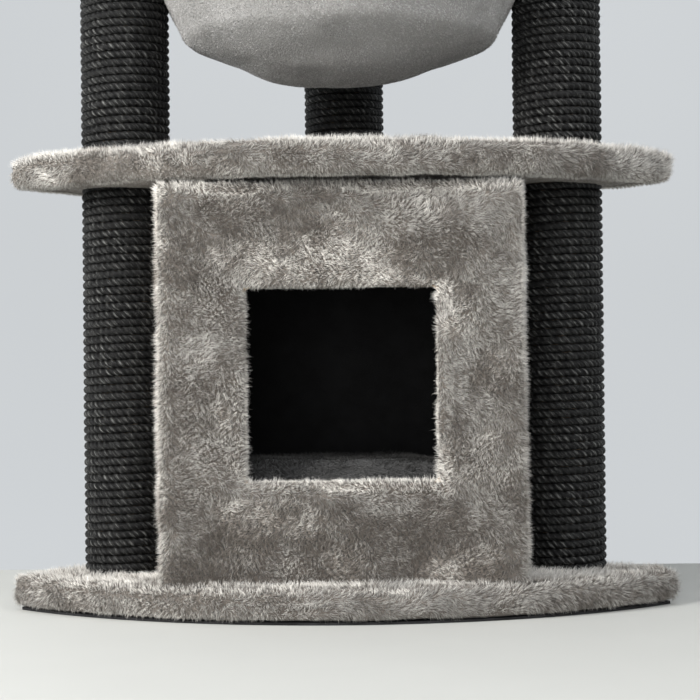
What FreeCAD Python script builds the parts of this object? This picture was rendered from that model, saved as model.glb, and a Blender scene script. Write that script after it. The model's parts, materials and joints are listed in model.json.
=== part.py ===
"""Corner cat tree: a quarter-circle base, a plush house and three rope-wrapped posts, a middle
platform, three more posts with a lift-off hammock between them, and a top platform.

Millimetres, +Z up, +Y towards the room corner that the tree stands in. The origin is under the
middle of the tree's bounding box, on the floor.
"""
import FreeCAD, Part

import math
import os

from FreeCAD import Placement, Rotation, Vector

# ---------------------------------------------------------------- driving sizes, mm
# Plates: quarter circles, with a right angle at the back and an arc in front
PLATE_RADIUS = 633.0        # from the back corner to the front arc, over the plush
CORNER_ROUND = 22.0         # the plate's three corners, over the plush
BOARD_T = 30.0              # the board inside each plate
PILE_TOP = 10.0             # plush standing on the top face of a plate
PILE_EDGE = 10.0            # plush standing on a plate's edge
PILE_UNDER = 8.0            # plush under the two upper platforms
PILE_PRESSED = 2.0          # plush squeezed flat under a post's end
PLATE_TOP_ROUND = 7.0       # rounding of the plush along a plate's top edge
TURN_IN = 55.0              # how far the base's plush is folded under the board
TURN_IN_T = 5.0             # thickness of that fold
FELT_T = 3.0                # felt underlay that the tree stands on
FELT_INSET = 8.0            # the felt's outline, inside the plush's

# Posts: a card tube wound with sisal rope, a wooden plug in each end
POST_SPREAD = 584.0         # between the axes of the two front posts
POST_D = 120.0              # over the rope
POST_EDGE_GAP = 20.0        # from each post's rope to the plate's straight edges
ROPE_D = 10.5               # the rope's own diameter
ROPE_SQUASH = 0.7           # how much flatter the rope gets where it is wound on its tube
TUBE_WALL = 5.0
PLUG_T = 28.0
LOWER_POST_L = 506.0        # seen between the base and the middle platform
UPPER_POST_L = 506.0        # seen between the middle and the top platform
ROPE_END_GAP = 1.0          # between the last turn of rope and the plush that it is pressed into

# Screws: M8 throughout the posts, M6 under the house, wood screws in the panels
BOLT_D = 8.0
BOLT_CLEARANCE = 1.0        # on the diameter, in boards and plush
BOLT_HEAD_D = 15.0
BOLT_HEAD_T = 3.2
BOLT_GRIP = 18.0            # how far a bolt or stud goes into its insert
WASHER_D = 22.0
WASHER_T = 1.2
INSERT_D = 12.0
INSERT_L = 20.0
THREAD_GAP = 0.05           # radial, between a stud and its insert
HOUSE_BOLT_D = 6.0
HOUSE_BOLT_INSET = 45.0     # from the house's outer faces
SCREW_D = 4.0
SCREW_L = 38.0
SCREW_HEAD_D = 8.0
SCREW_HEAD_T = 3.0

# House: a box of boards covered with plush, open in front
HOUSE_POST_GAP = 0.5        # each side, between the plush and the posts
HOUSE_HEADROOM = 3.0        # under the middle platform
HOUSE_DEPTH = 340.0
HOUSE_SETBACK = 46.0        # its front face, behind the front of the base's arc
HOUSE_ROUND = 9.0           # rounding of its upright plush edges
PANEL_T = 12.0
HOUSE_PILE = 8.0            # plush standing on the panels
LINING_T = 2.0              # dark cloth inside
DOOR_W = 235.0              # clear width between the plush
DOOR_H = 235.0
DOOR_SILL = 130.0           # from the house's foot to the bottom of the clear opening
DOOR_ROUND = 12.0           # the opening's corners

# Loose cushion inside the house
CUSHION_GAP = 3.0           # to the lining all round
CUSHION_FLOOR_GAP = 0.3     # to the lining on the floor
CUSHION_T = 136.0
CUSHION_ROUND = 42.0

# Hammock: a cloth bag on a steel ring that lies in three hooks
RING_ROD_D = 10.0
RING_ABOVE_PLATFORM = 298.0  # the ring's centre line over the middle platform's plush
HOOK_T = 2.5
HOOK_W = 24.0
HOOK_PLAY = 0.5             # between the ring and each side of its hook
HOOK_SEAT_GAP = 0.3         # between the ring and the hook's bottom
HOOK_LIP_H = 8.0            # the inner lip's top, over the ring's centre line
HOOK_PLATE_H = 48.0         # the plate's top, over the ring's centre line
HOOK_HOLES = (20.0, 37.0)   # the two screws, over the ring's centre line
HOOK_SCREW_D = 4.0
HOOK_SCREW_L = 24.0
HOOK_SCREW_HEAD_D = 8.0
BAG_DEPTH = 202.0           # from the ring's centre line down to the bag's lowest point
BAG_T = 4.0                 # cloth and pile together
BAG_BULGE = 15.0            # how far the bag swells past the line between the posts
BAG_POST_GAP = 1.0
HEM_T = 2.0                 # cloth of the sleeve round the ring
HEM_PLAY = 0.3
HEM_CUT_W = 50.0            # gap in the sleeve at each hook
HEM_CUT_BELOW = 46.0        # how far that gap goes below the ring's centre line

# ---------------------------------------------------------------- levels and places
POST_R = POST_D / 2
POST_MARGIN = POST_R + POST_EDGE_GAP
TUBE_R = POST_R - (ROPE_D - ROPE_SQUASH)
BASE_TOP = FELT_T + TURN_IN_T + BOARD_T + PILE_TOP
PLATE_T = PILE_UNDER + BOARD_T + PILE_TOP
MIDDLE_Z = BASE_TOP + LOWER_POST_L
MIDDLE_TOP = MIDDLE_Z + PLATE_T
TOP_Z = MIDDLE_TOP + UPPER_POST_L

# The circle through the posts' near faces has its centre between the front posts; a hook's
# plate stands on each post where that circle touches it
HOOK_REACH = POST_SPREAD / 2 - POST_R
RING_Z = MIDDLE_TOP + RING_ABOVE_PLATFORM
RING_R = HOOK_REACH - HOOK_T - HOOK_PLAY - RING_ROD_D / 2

# The back corner is placed so that the bounding box is centred on the Z axis: its front is the
# plates' arc or the hammock, whichever stands out further
CORNER_TRIM = CORNER_ROUND * (math.sqrt(2) - 1)
HAMMOCK_REACH = POST_SPREAD / 2 + POST_MARGIN * math.sqrt(2) + HOOK_REACH + BAG_BULGE
CORNER_Y = (max(PLATE_RADIUS, HAMMOCK_REACH) + CORNER_TRIM) / 2
FRONT_POST_Y = CORNER_Y - POST_SPREAD / 2 - POST_MARGIN * math.sqrt(2)
REAR_POST_Y = CORNER_Y - POST_MARGIN * math.sqrt(2)
POSTS = {
    "left": (-POST_SPREAD / 2, FRONT_POST_Y),
    "right": (POST_SPREAD / 2, FRONT_POST_Y),
    "rear": (0.0, REAR_POST_Y),
}

HOUSE_W = POST_SPREAD - POST_D - 2 * HOUSE_POST_GAP
HOUSE_H = LOWER_POST_L - HOUSE_HEADROOM
HOUSE_FRONT = CORNER_Y - PLATE_RADIUS + HOUSE_SETBACK
HOUSE_BACK = HOUSE_FRONT + HOUSE_DEPTH


# ---------------------------------------------------------------- small helpers
def export(name, *solids):
    """Write one node, of one or more separate solids."""
    shape = solids[0] if len(solids) == 1 else Part.makeCompound(list(solids))
    shape.exportStep("parts/" + name + ".step")


def rod(radius, low, high, x=0.0, y=0.0):
    """An upright cylinder between two heights."""
    return Part.makeCylinder(radius, high - low, Vector(x, y, low))


def pipe(outer, inner, low, high, x=0.0, y=0.0):
    """An upright tube between two heights."""
    return rod(outer, low, high, x, y).cut(rod(inner, low - 1, high + 1, x, y))


def block(x0, x1, y0, y1, z0, z1):
    """A box between two corners."""
    return Part.makeBox(x1 - x0, y1 - y0, z1 - z0, Vector(x0, y0, z0))


def centred_block(width, y0, y1, z0, z1):
    """A box centred on X = 0."""
    return block(-width / 2, width / 2, y0, y1, z0, z1)


def upright_edges(shape):
    """The straight edges that run along Z."""
    found = []
    for edge in shape.Edges:
        ends = [v.Point for v in edge.Vertexes]
        if len(ends) == 2 and abs(ends[0].x - ends[1].x) + abs(ends[0].y - ends[1].y) < 1e-6:
            found.append(edge)
    return found


def flat_edges(shape, height):
    """The edges that lie at one height."""
    return [e for e in shape.Edges
            if abs(e.BoundBox.ZMin - height) < 1e-5 and abs(e.BoundBox.ZMax - height) < 1e-5]


def quarter_plate(inset, low, high):
    """A quarter-circle slab whose outline is inset all round from the plush's outline."""
    side = 2 * PLATE_RADIUS
    wedge = Part.makeBox(side, side, high - low)
    wedge.Placement = Placement(Vector(0, CORNER_Y - inset * math.sqrt(2), low),
                                Rotation(Vector(0, 0, 1), -135))
    slab = rod(PLATE_RADIUS - inset, low, high, 0, CORNER_Y).common(wedge)
    return slab.makeFillet(max(CORNER_ROUND - inset, 2.0), upright_edges(slab))


def post_holes(diameter, low, high):
    """One upright cylinder at every post, to cut a hole with."""
    return [rod(diameter / 2, low, high, x, y) for x, y in POSTS.values()]


def cut_all(shape, tools):
    """Cut a list of solids from a shape, one after another."""
    for tool in tools:
        shape = shape.cut(tool)
    return shape


def house_bolt_places():
    """The four bolts that hold the house's floor to the base."""
    return [(sx * (HOUSE_W / 2 - HOUSE_BOLT_INSET), y)
            for sx in (-1, 1)
            for y in (HOUSE_FRONT + HOUSE_BOLT_INSET, HOUSE_BACK - HOUSE_BOLT_INSET)]


def flat_head_bolt(diameter, head_d, head_t, head_low, tip, x, y):
    """A bolt that points up, its head from head_low."""
    return rod(head_d / 2, head_low, head_low + head_t, x, y).fuse(
        rod(diameter / 2, head_low + head_t, tip, x, y)).removeSplitter()


def wood_screw(start, direction, length, diameter, head_d, head_t):
    """A countersunk screw from its head's face, pointing along a direction."""
    head = Part.makeCone(head_d / 2, diameter / 2, head_t, start, direction)
    shank_start = start + direction * head_t
    tip_l = diameter
    shank = Part.makeCylinder(diameter / 2, length - head_t - tip_l, shank_start, direction)
    tip = Part.makeCone(diameter / 2, diameter / 8, tip_l,
                        shank_start + direction * (length - head_t - tip_l), direction)
    return head.fuse([shank, tip]).removeSplitter()


# ---------------------------------------------------------------- plates
BOARD_LOW = {"base": FELT_T + TURN_IN_T, "middle": MIDDLE_Z + PILE_UNDER, "top": TOP_Z + PILE_UNDER}
HOLE_D = BOLT_D + BOLT_CLEARANCE
HOUSE_HOLE_D = HOUSE_BOLT_D + BOLT_CLEARANCE


def post_sockets(low, high):
    """The places where posts are pressed into the plush."""
    return post_holes(POST_D + 2 * BOLT_CLEARANCE, low, high)


def plush_tray(board_low, top, skirt_low):
    """Plush over the top and the edge of a plate, hollow below for its board."""
    outer = quarter_plate(0.0, skirt_low, top)
    outer = outer.makeFillet(min(PLATE_TOP_ROUND, PILE_TOP - 1), flat_edges(outer, top))
    inner = quarter_plate(PILE_EDGE, skirt_low - 1, board_low + BOARD_T)
    return outer.cut(inner)


def make_base():
    """Felt, board and plush of the bottom plate, with the post bolts under it."""
    board_low = BOARD_LOW["base"]
    board = quarter_plate(PILE_EDGE, board_low, board_low + BOARD_T)
    board = cut_all(board, post_holes(HOLE_D, board_low - 1, BASE_TOP))
    board = cut_all(board, [rod(HOUSE_HOLE_D / 2, board_low - 1, BASE_TOP, x, y)
                            for x, y in house_bolt_places()])
    export("base_board", board)

    cover = plush_tray(board_low, BASE_TOP, FELT_T)
    fold = quarter_plate(PILE_EDGE, FELT_T, board_low).cut(
        quarter_plate(PILE_EDGE + TURN_IN, FELT_T - 1, board_low + 1))
    cover = cover.fuse(fold).removeSplitter()
    cover = cut_all(cover, post_sockets(board_low + BOARD_T + PILE_PRESSED, BASE_TOP + 1))
    cover = cut_all(cover, post_holes(HOLE_D, board_low + BOARD_T - 1, BASE_TOP))
    cover = cut_all(cover, post_holes(WASHER_D + 2 * BOLT_CLEARANCE, FELT_T - 1, board_low))
    for x, y in house_bolt_places():
        cover = cover.cut(rod(HOUSE_HOLE_D / 2, board_low + BOARD_T - 1, BASE_TOP + 1, x, y))
        cover = cover.cut(rod(WASHER_D / 2 + BOLT_CLEARANCE, FELT_T - 1, board_low, x, y))
    export("base_plush_cover", cover)

    export("base_felt_underlay", quarter_plate(FELT_INSET, 0.0, FELT_T))

    washer_low = board_low - WASHER_T
    bolts, washers = [], []
    for x, y in POSTS.values():
        tip = board_low + BOARD_T + PILE_PRESSED + BOLT_GRIP
        bolts.append(flat_head_bolt(BOLT_D, BOLT_HEAD_D, BOLT_HEAD_T,
                                    washer_low - BOLT_HEAD_T, tip, x, y))
        washers.append(pipe(WASHER_D / 2, HOLE_D / 2, washer_low, board_low, x, y))
    export("base_post_bolts", *bolts)
    export("base_bolt_washers", *washers)


def make_platform(name, low, with_top_holes):
    """Board and plush of an upper platform."""
    board_low = BOARD_LOW[name]
    board_top = board_low + BOARD_T
    board = quarter_plate(PILE_EDGE, board_low, board_top)
    if with_top_holes:
        board = cut_all(board, post_holes(HOLE_D, board_low - 1, board_top + 1))
    else:
        board = cut_all(board, post_holes(INSERT_D, board_low - 1, board_low + INSERT_L))
    export(name + "_board", board)

    cover = plush_tray(board_low, low + PLATE_T, low)
    if with_top_holes:
        cover = cut_all(cover, post_sockets(board_top + PILE_PRESSED, low + PLATE_T + 1))
        cover = cut_all(cover, post_holes(HOLE_D, board_top - 1, low + PLATE_T))
    export(name + "_plush_cover", cover)

    under = quarter_plate(PILE_EDGE, low, board_low)
    under = cut_all(under, post_sockets(low - 1, board_low - PILE_PRESSED))
    under = cut_all(under, post_holes(HOLE_D, low - 1, board_low + 1))
    export(name + "_plush_underside", under)


# ---------------------------------------------------------------- posts
def make_posts(level, plate_top, next_low, side_screws):
    """Three posts of one storey: tube, rope winding, two plugs each and their inserts. Any
    screws from the side make their own holes in the rope and the tube."""
    low = plate_top - PILE_TOP + PILE_PRESSED
    high = next_low + PILE_UNDER - PILE_PRESSED
    plugs, inserts = [], []
    for place, (x, y) in POSTS.items():
        tube = pipe(TUBE_R, TUBE_R - TUBE_WALL, low, high, x, y)
        rope = pipe(POST_R, TUBE_R, low + ROPE_END_GAP, high - ROPE_END_GAP, x, y)
        export(level + "_" + place + "_post_tube", cut_all(tube, side_screws))
        export(level + "_" + place + "_post_rope", cut_all(rope, side_screws))
        for plug_low in (low, high - PLUG_T):
            plug = rod(TUBE_R - TUBE_WALL, plug_low, plug_low + PLUG_T, x, y)
            insert_low = low if plug_low == low else high - INSERT_L
            hole_low = low - 1 if plug_low == low else high - INSERT_L
            hole_high = low + INSERT_L if plug_low == low else high + 1
            plugs.append(plug.cut(rod(INSERT_D / 2, hole_low, hole_high, x, y)))
            inserts.append(pipe(INSERT_D / 2, BOLT_D / 2 + THREAD_GAP,
                                insert_low, insert_low + INSERT_L, x, y))
    export(level + "_post_plugs", *plugs)
    export(level + "_post_inserts", *inserts)


def make_studs():
    """Threaded studs through the middle platform, and into the top one."""
    grip_low = BOARD_LOW["middle"] - PILE_PRESSED - BOLT_GRIP
    grip_high = BOARD_LOW["middle"] + BOARD_T + PILE_PRESSED + BOLT_GRIP
    export("middle_studs", *[rod(BOLT_D / 2, grip_low, grip_high, x, y) for x, y in POSTS.values()])

    board_low = BOARD_LOW["top"]
    export("top_studs", *[rod(BOLT_D / 2, board_low - PILE_PRESSED - BOLT_GRIP,
                              board_low + BOLT_GRIP, x, y) for x, y in POSTS.values()])
    export("top_board_inserts", *[pipe(INSERT_D / 2, BOLT_D / 2 + THREAD_GAP,
                                       board_low, board_low + INSERT_L, x, y)
                                  for x, y in POSTS.values()])


# ---------------------------------------------------------------- house
HOUSE_LOW = BASE_TOP
HOUSE_HIGH = HOUSE_LOW + HOUSE_H
SHELL_W = HOUSE_W - 2 * HOUSE_PILE               # over the panels
SHELL_Y0 = HOUSE_FRONT + HOUSE_PILE
SHELL_Y1 = HOUSE_BACK - HOUSE_PILE
SHELL_Z1 = HOUSE_HIGH - HOUSE_PILE
INNER_W = SHELL_W - 2 * PANEL_T                  # between the side panels
INNER_Y0 = SHELL_Y0 + PANEL_T
INNER_Y1 = SHELL_Y1 - PANEL_T
INNER_Z0 = HOUSE_LOW + PANEL_T
INNER_Z1 = SHELL_Z1 - PANEL_T
DOOR_Z0 = HOUSE_LOW + DOOR_SILL
DOOR_Z1 = DOOR_Z0 + DOOR_H


def door_plug(grow, y0, y1):
    """The doorway as a solid, grown all round, with rounded corners."""
    plug = centred_block(DOOR_W + 2 * grow, y0, y1, DOOR_Z0 - grow, DOOR_Z1 + grow)
    along_y = [e for e in plug.Edges if e.BoundBox.YLength > (y1 - y0) * 0.9]
    return plug.makeFillet(DOOR_ROUND + grow, along_y)


def screw_row(x, y, z_values, direction):
    """Panel screws at several heights of one upright joint."""
    return [wood_screw(Vector(x, y, z), direction, SCREW_L, SCREW_D, SCREW_HEAD_D, SCREW_HEAD_T)
            for z in z_values]


def make_panel_screws():
    """Screws through the front and back panels into the edges of the side panels, and through
    the side panels into the edges of the floor and the roof."""
    heights = [HOUSE_LOW + HOUSE_H * share for share in (0.15, 0.5, 0.85)]
    edge_x = SHELL_W / 2 - PANEL_T / 2
    screws = []
    for sx in (-1, 1):
        screws += screw_row(sx * edge_x, SHELL_Y0, heights, Vector(0, 1, 0))
        screws += screw_row(sx * edge_x, SHELL_Y1, heights, Vector(0, -1, 0))
        for share in (0.25, 0.75):
            y = INNER_Y0 + (INNER_Y1 - INNER_Y0) * share
            for z in (HOUSE_LOW + PANEL_T / 2, SHELL_Z1 - PANEL_T / 2):
                screws.append(wood_screw(Vector(sx * SHELL_W / 2, y, z), Vector(-sx, 0, 0),
                                         SCREW_L, SCREW_D, SCREW_HEAD_D, SCREW_HEAD_T))
    return screws


def make_house():
    """Six panels, their screws, the plush outside and the dark cloth inside."""
    screws = make_panel_screws()
    bolts = [rod(HOUSE_HOLE_D / 2, HOUSE_LOW - 1, INNER_Z0 + 1, x, y)
             for x, y in house_bolt_places()]
    panels = {
        "house_front_panel": centred_block(SHELL_W, SHELL_Y0, INNER_Y0, HOUSE_LOW, SHELL_Z1).cut(
            door_plug(HOUSE_PILE, SHELL_Y0 - 1, INNER_Y0 + 1)),
        "house_back_panel": centred_block(SHELL_W, INNER_Y1, SHELL_Y1, HOUSE_LOW, SHELL_Z1),
        "house_left_panel": block(-SHELL_W / 2, -INNER_W / 2, INNER_Y0, INNER_Y1, HOUSE_LOW, SHELL_Z1),
        "house_right_panel": block(INNER_W / 2, SHELL_W / 2, INNER_Y0, INNER_Y1, HOUSE_LOW, SHELL_Z1),
        "house_floor_panel": centred_block(INNER_W, INNER_Y0, INNER_Y1, HOUSE_LOW, INNER_Z0),
        "house_roof_panel": centred_block(INNER_W, INNER_Y0, INNER_Y1, INNER_Z1, SHELL_Z1),
    }
    for name, panel in panels.items():
        panel = cut_all(panel, screws)
        if name == "house_floor_panel":
            panel = cut_all(panel, bolts)
        export(name, panel)
    export("house_panel_screws", *screws)

    outer = centred_block(HOUSE_W, HOUSE_FRONT, HOUSE_BACK, HOUSE_LOW, HOUSE_HIGH)
    outer = outer.makeFillet(HOUSE_ROUND, upright_edges(outer))
    outer = outer.makeFillet(min(HOUSE_PILE, HOUSE_ROUND) - 1, flat_edges(outer, HOUSE_HIGH))
    cover = outer.cut(centred_block(SHELL_W, SHELL_Y0, SHELL_Y1, HOUSE_LOW - 1, SHELL_Z1))
    collar = door_plug(HOUSE_PILE, SHELL_Y0, INNER_Y0 + LINING_T)
    cover = cover.fuse(collar).cut(door_plug(0.0, HOUSE_FRONT - 1, INNER_Y0 + LINING_T + 1))
    export("house_plush_cover", cover.removeSplitter())

    lining = centred_block(INNER_W, INNER_Y0, INNER_Y1, INNER_Z0, INNER_Z1).cut(
        centred_block(INNER_W - 2 * LINING_T, INNER_Y0 + LINING_T, INNER_Y1 - LINING_T,
                      INNER_Z0 + LINING_T, INNER_Z1 - LINING_T))
    lining = lining.cut(door_plug(HOUSE_PILE, INNER_Y0 - 1, INNER_Y0 + LINING_T + 1))
    house_bolts, house_washers = [], []
    washer_low = BOARD_LOW["base"] - WASHER_T
    for x, y in house_bolt_places():
        lining = lining.cut(rod(HOUSE_HOLE_D / 2, INNER_Z0 - 1, INNER_Z0 + LINING_T + 1, x, y))
        house_bolts.append(flat_head_bolt(HOUSE_BOLT_D, BOLT_HEAD_D - 2, BOLT_HEAD_T,
                                          washer_low - BOLT_HEAD_T, INNER_Z0 - 1, x, y))
        house_washers.append(pipe(WASHER_D / 2 - 1, HOUSE_HOLE_D / 2, washer_low,
                                  BOARD_LOW["base"], x, y))
    export("house_lining", lining)
    export("house_floor_bolts", *house_bolts)
    export("house_bolt_washers", *house_washers)


def make_cushion():
    """The loose cushion that fills the bottom of the house, up to the sill."""
    gap = LINING_T + CUSHION_GAP
    low = INNER_Z0 + LINING_T + CUSHION_FLOOR_GAP
    body = centred_block(INNER_W - 2 * gap, INNER_Y0 + gap, INNER_Y1 - gap, low, low + CUSHION_T)
    body = body.makeFillet(CUSHION_ROUND, upright_edges(body))
    ends = flat_edges(body, low) + flat_edges(body, low + CUSHION_T)
    export("house_cushion", body.makeFillet(CUSHION_ROUND * 0.9, ends))


# ---------------------------------------------------------------- hammock
def bag_profile(shrink):
    """The filled bag's outline from its rim to its lowest point, as (radius, height), made
    smaller by the cloth's thickness."""
    widest = HOOK_REACH + BAG_BULGE - shrink
    rim = RING_R + RING_ROD_D / 2 + HEM_PLAY + HEM_T - shrink
    depth = BAG_DEPTH - shrink
    bottom = RING_Z - depth
    return [(rim, RING_Z), (rim + 0.6 * (widest - rim), bottom + 0.85 * depth),
            (widest, bottom + 0.60 * depth), (0.955 * widest, bottom + 0.33 * depth),
            (0.80 * widest, bottom + 0.135 * depth), (0.5 * widest, bottom + 0.03 * depth),
            (0, bottom)]


def filled_bag(shrink):
    """The bag as a full body, dented where it passes each post."""
    points = [Vector(r, 0, z) for r, z in bag_profile(shrink)]
    side = Part.BSplineCurve()
    side.interpolate(Points=points, InitialTangent=Vector(0.35, 0, -1), FinalTangent=Vector(-1, 0, 0))
    top = Vector(0, 0, RING_Z)
    outline = Part.Wire([side.toShape(), Part.makeLine(points[-1], top), Part.makeLine(top, points[0])])
    body = Part.Face(outline).revolve(Vector(0, 0, 0), Vector(0, 0, 1), 360)
    body.translate(Vector(0, FRONT_POST_Y, 0))
    post_grow = BAG_POST_GAP + shrink
    low = RING_Z - BAG_DEPTH - 1
    return cut_all(body, [rod(POST_R + post_grow, low, RING_Z + 1, x, y) for x, y in POSTS.values()])


def ring_body(rod_r):
    """A ring round the hammock's axis."""
    return Part.makeTorus(RING_R, rod_r, Vector(0, FRONT_POST_Y, RING_Z))


def hook_frames():
    """For each post: its name, the point on its rope nearest the ring's centre, and the way in."""
    centre = Vector(0, FRONT_POST_Y, 0)
    for place, (x, y) in POSTS.items():
        inward = (centre - Vector(x, y, 0)).normalize()
        yield place, Vector(x, y, RING_Z) + inward * POST_R, inward


def in_frame(shape, foot, inward):
    """Put a shape drawn with +X pointing in, at the foot of its own frame, in its place."""
    angle = math.degrees(math.atan2(inward.y, inward.x))
    shape.Placement = Placement(foot, Rotation(Vector(0, 0, 1), angle))
    return shape


def hook_bracket():
    """A flat steel hook, drawn with +X pointing in and Z = 0 at the ring's centre line."""
    rod_r = RING_ROD_D / 2
    seat = -rod_r - HOOK_SEAT_GAP
    half = HOOK_W / 2
    ring_inner = RING_R - rod_r
    curve_room = ring_inner - math.sqrt(ring_inner ** 2 - half ** 2)
    lip_x = HOOK_T + 2 * HOOK_PLAY + RING_ROD_D + curve_room
    plate = block(0, HOOK_T, -half, half, seat - HOOK_T, HOOK_PLATE_H)
    floor = block(0, lip_x + HOOK_T, -half, half, seat - HOOK_T, seat)
    lip = block(lip_x, lip_x + HOOK_T, -half, half, seat - HOOK_T, HOOK_LIP_H)
    hook = plate.fuse([floor, lip]).removeSplitter()
    corners = [e for e in hook.Edges if e.BoundBox.YLength > HOOK_W * 0.9
               and abs(e.BoundBox.ZMin - (seat - HOOK_T)) < 1e-5]
    return hook.makeFillet(HOOK_T * 0.8, corners)


def hook_screws():
    """The bracket's two countersunk screws, drawn in its own frame."""
    return [wood_screw(Vector(HOOK_T, 0, z), Vector(-1, 0, 0), HOOK_SCREW_L, HOOK_SCREW_D,
                       HOOK_SCREW_HEAD_D, HOOK_T * 0.9) for z in HOOK_HOLES]


def make_hammock():
    """Ring, bag with its sleeve, three hooks and their screws. Returns the screws' solids, for
    the holes that they make in the rope and the tube."""
    rod_r = RING_ROD_D / 2
    export("hammock_ring", ring_body(rod_r))

    shell = filled_bag(0.0).cut(filled_bag(BAG_T))
    shell = shell.cut(centred_block(4 * RING_R, FRONT_POST_Y - 2 * RING_R, FRONT_POST_Y + 2 * RING_R,
                                    RING_Z, RING_Z + 1))
    shell = shell.fuse(ring_body(rod_r + HEM_PLAY + HEM_T)).cut(ring_body(rod_r + HEM_PLAY))
    screws = []
    for place, foot, inward in hook_frames():
        reach = HOOK_T + RING_ROD_D + 4 * HEM_T + BAG_T
        gap = block(-HEM_T, reach, -HEM_CUT_W / 2, HEM_CUT_W / 2, -HEM_CUT_BELOW, rod_r + 2 * HEM_T)
        shell = shell.cut(in_frame(gap, foot, inward))
        own = [in_frame(s, foot, inward) for s in hook_screws()]
        screws += own
        export("hammock_hook_" + place, cut_all(in_frame(hook_bracket(), foot, inward), own))
    pieces = sorted(shell.Solids, key=lambda s: s.Volume)
    export("hammock_bag", pieces[-1])
    export("hammock_hook_screws", *screws)
    return screws


# ---------------------------------------------------------------- the whole tree
os.makedirs("parts", exist_ok=True)
make_base()
make_platform("middle", MIDDLE_Z, True)
make_platform("top", TOP_Z, False)
make_posts("lower", BASE_TOP, MIDDLE_Z, [])
make_posts("upper", MIDDLE_TOP, TOP_Z, make_hammock())
make_studs()
make_house()
make_cushion()
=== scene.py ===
"""Looks of a corner cat tree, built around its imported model: plush with real pile, wound rope,
a hanging bag, a stuffed cushion, and the boards, tubes and fittings inside them."""

import json
import logging
import math
from dataclasses import dataclass, field, replace
from enum import Enum
from itertools import product
from typing import Callable

import bpy
import numpy as np
from mathutils import Euler, Matrix, Vector


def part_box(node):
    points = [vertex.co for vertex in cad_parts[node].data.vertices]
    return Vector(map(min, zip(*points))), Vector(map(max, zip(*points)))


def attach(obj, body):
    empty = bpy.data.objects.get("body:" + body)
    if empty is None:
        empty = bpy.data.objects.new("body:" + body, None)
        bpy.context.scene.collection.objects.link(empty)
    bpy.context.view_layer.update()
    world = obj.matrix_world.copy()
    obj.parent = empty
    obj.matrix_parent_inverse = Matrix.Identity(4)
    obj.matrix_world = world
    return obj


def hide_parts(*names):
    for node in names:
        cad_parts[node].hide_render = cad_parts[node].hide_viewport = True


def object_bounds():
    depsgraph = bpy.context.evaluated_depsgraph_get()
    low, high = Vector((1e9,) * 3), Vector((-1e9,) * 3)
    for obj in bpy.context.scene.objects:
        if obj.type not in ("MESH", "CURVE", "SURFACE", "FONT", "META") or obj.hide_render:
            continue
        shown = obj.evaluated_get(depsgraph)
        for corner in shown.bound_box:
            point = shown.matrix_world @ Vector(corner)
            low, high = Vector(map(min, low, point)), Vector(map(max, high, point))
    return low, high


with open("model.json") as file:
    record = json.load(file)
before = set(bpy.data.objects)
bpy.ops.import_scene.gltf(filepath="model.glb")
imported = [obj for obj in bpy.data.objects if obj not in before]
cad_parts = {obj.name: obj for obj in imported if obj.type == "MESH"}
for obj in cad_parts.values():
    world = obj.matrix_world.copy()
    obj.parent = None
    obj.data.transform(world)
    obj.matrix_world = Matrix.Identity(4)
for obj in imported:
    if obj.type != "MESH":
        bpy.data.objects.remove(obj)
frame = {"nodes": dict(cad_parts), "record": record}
CAD_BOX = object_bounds()

Array = np.ndarray
Keep = Callable[[Array], Array]
Comb = tuple[float, float, float] | Callable[[Array], Array]
log = logging.getLogger("cat_tree")

PILE_MAP = "OFBake"             # the pile's and the rope's own map: across and along
MAP_FOOT, MAP_HEIGHT = 0.05, 0.9    # where the rope's own map starts and how tall it is
MAX_HAIRS = 49000               # in one piece
MM = 0.001
# tufts lie askew to the walls, so that no rows of them show
TUFT_TURN = np.array(Euler((0.6, 0.9, 0.5)).to_matrix())
TUFT_WAVE = 0.6                 # how far their rows bend, in tufts
TUFT_WAVES = 0.7                # how quickly they bend, radians for each tuft
TUFT_TONE_GAIN = 1.7            # brings the lattice's values up to a spread of about 1
TUFT_SCATTER = 0.4              # how far each tuft's middle strays, in tufts
NEARLY_SHUT = 0.985             # where a plate's last ring lies, before its middle
LOWEST_TIP = 0.4 * MM           # no hair goes through the floor


class Slot(Enum):
    """The record's material slots."""
    PLUSH = "plush"
    CUSHION_PLUSH = "cushion_plush"
    HAMMOCK_PLUSH = "hammock_plush"
    ROPE = "sisal_rope"
    TUBE = "card_tube"
    PLUG = "plug_wood"
    BOARD = "board"
    FELT = "felt"
    LINING = "lining"
    HOOK = "hook_steel"
    ZINC = "zinc_steel"


class Body(Enum):
    """The bodies that move on their own."""
    TREE = "tree"
    HAMMOCK = "hammock"
    CUSHION = "cushion"


class Level(Enum):
    """The three plates, from the floor up."""
    BASE = "base"
    MIDDLE = "middle"
    TOP = "top"


class Storey(Enum):
    """The two rows of posts."""
    LOWER = "lower"
    UPPER = "upper"


class Place(Enum):
    """Where a post stands on the plates."""
    LEFT = "left"
    RIGHT = "right"
    REAR = "rear"


# ------------------------------------------------------------------ noise and points
class SmoothNoise:
    """Repeatable smooth noise in space, for lumps and for the lie of the pile."""

    CELLS = 32

    def __init__(self, seed: int) -> None:
        """Fill the lattice.

        Args:
            seed: picks the pattern.
        """
        self.rng = np.random.default_rng(seed)
        self.lattice = self.rng.uniform(-1, 1, (self.CELLS,) * 3)

    def at(self, points: Array, size: float) -> Array:
        """Noise at some points.

        Args:
            points: one row of x, y, z for each point, in metres.
            size: how large a lump is, in metres.

        Returns:
            One value from -1 to 1 for each point.
        """
        scaled = points / size
        cell = np.floor(scaled).astype(int)
        part = scaled - cell
        part = part * part * (3 - 2 * part)
        total = np.zeros(len(points))
        for corner in product((0, 1), repeat=3):
            share = np.prod(np.where(corner, part, 1 - part), axis=1)
            index = (cell + corner) % self.CELLS
            total += share * self.lattice[index[:, 0], index[:, 1], index[:, 2]]
        return total


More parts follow.
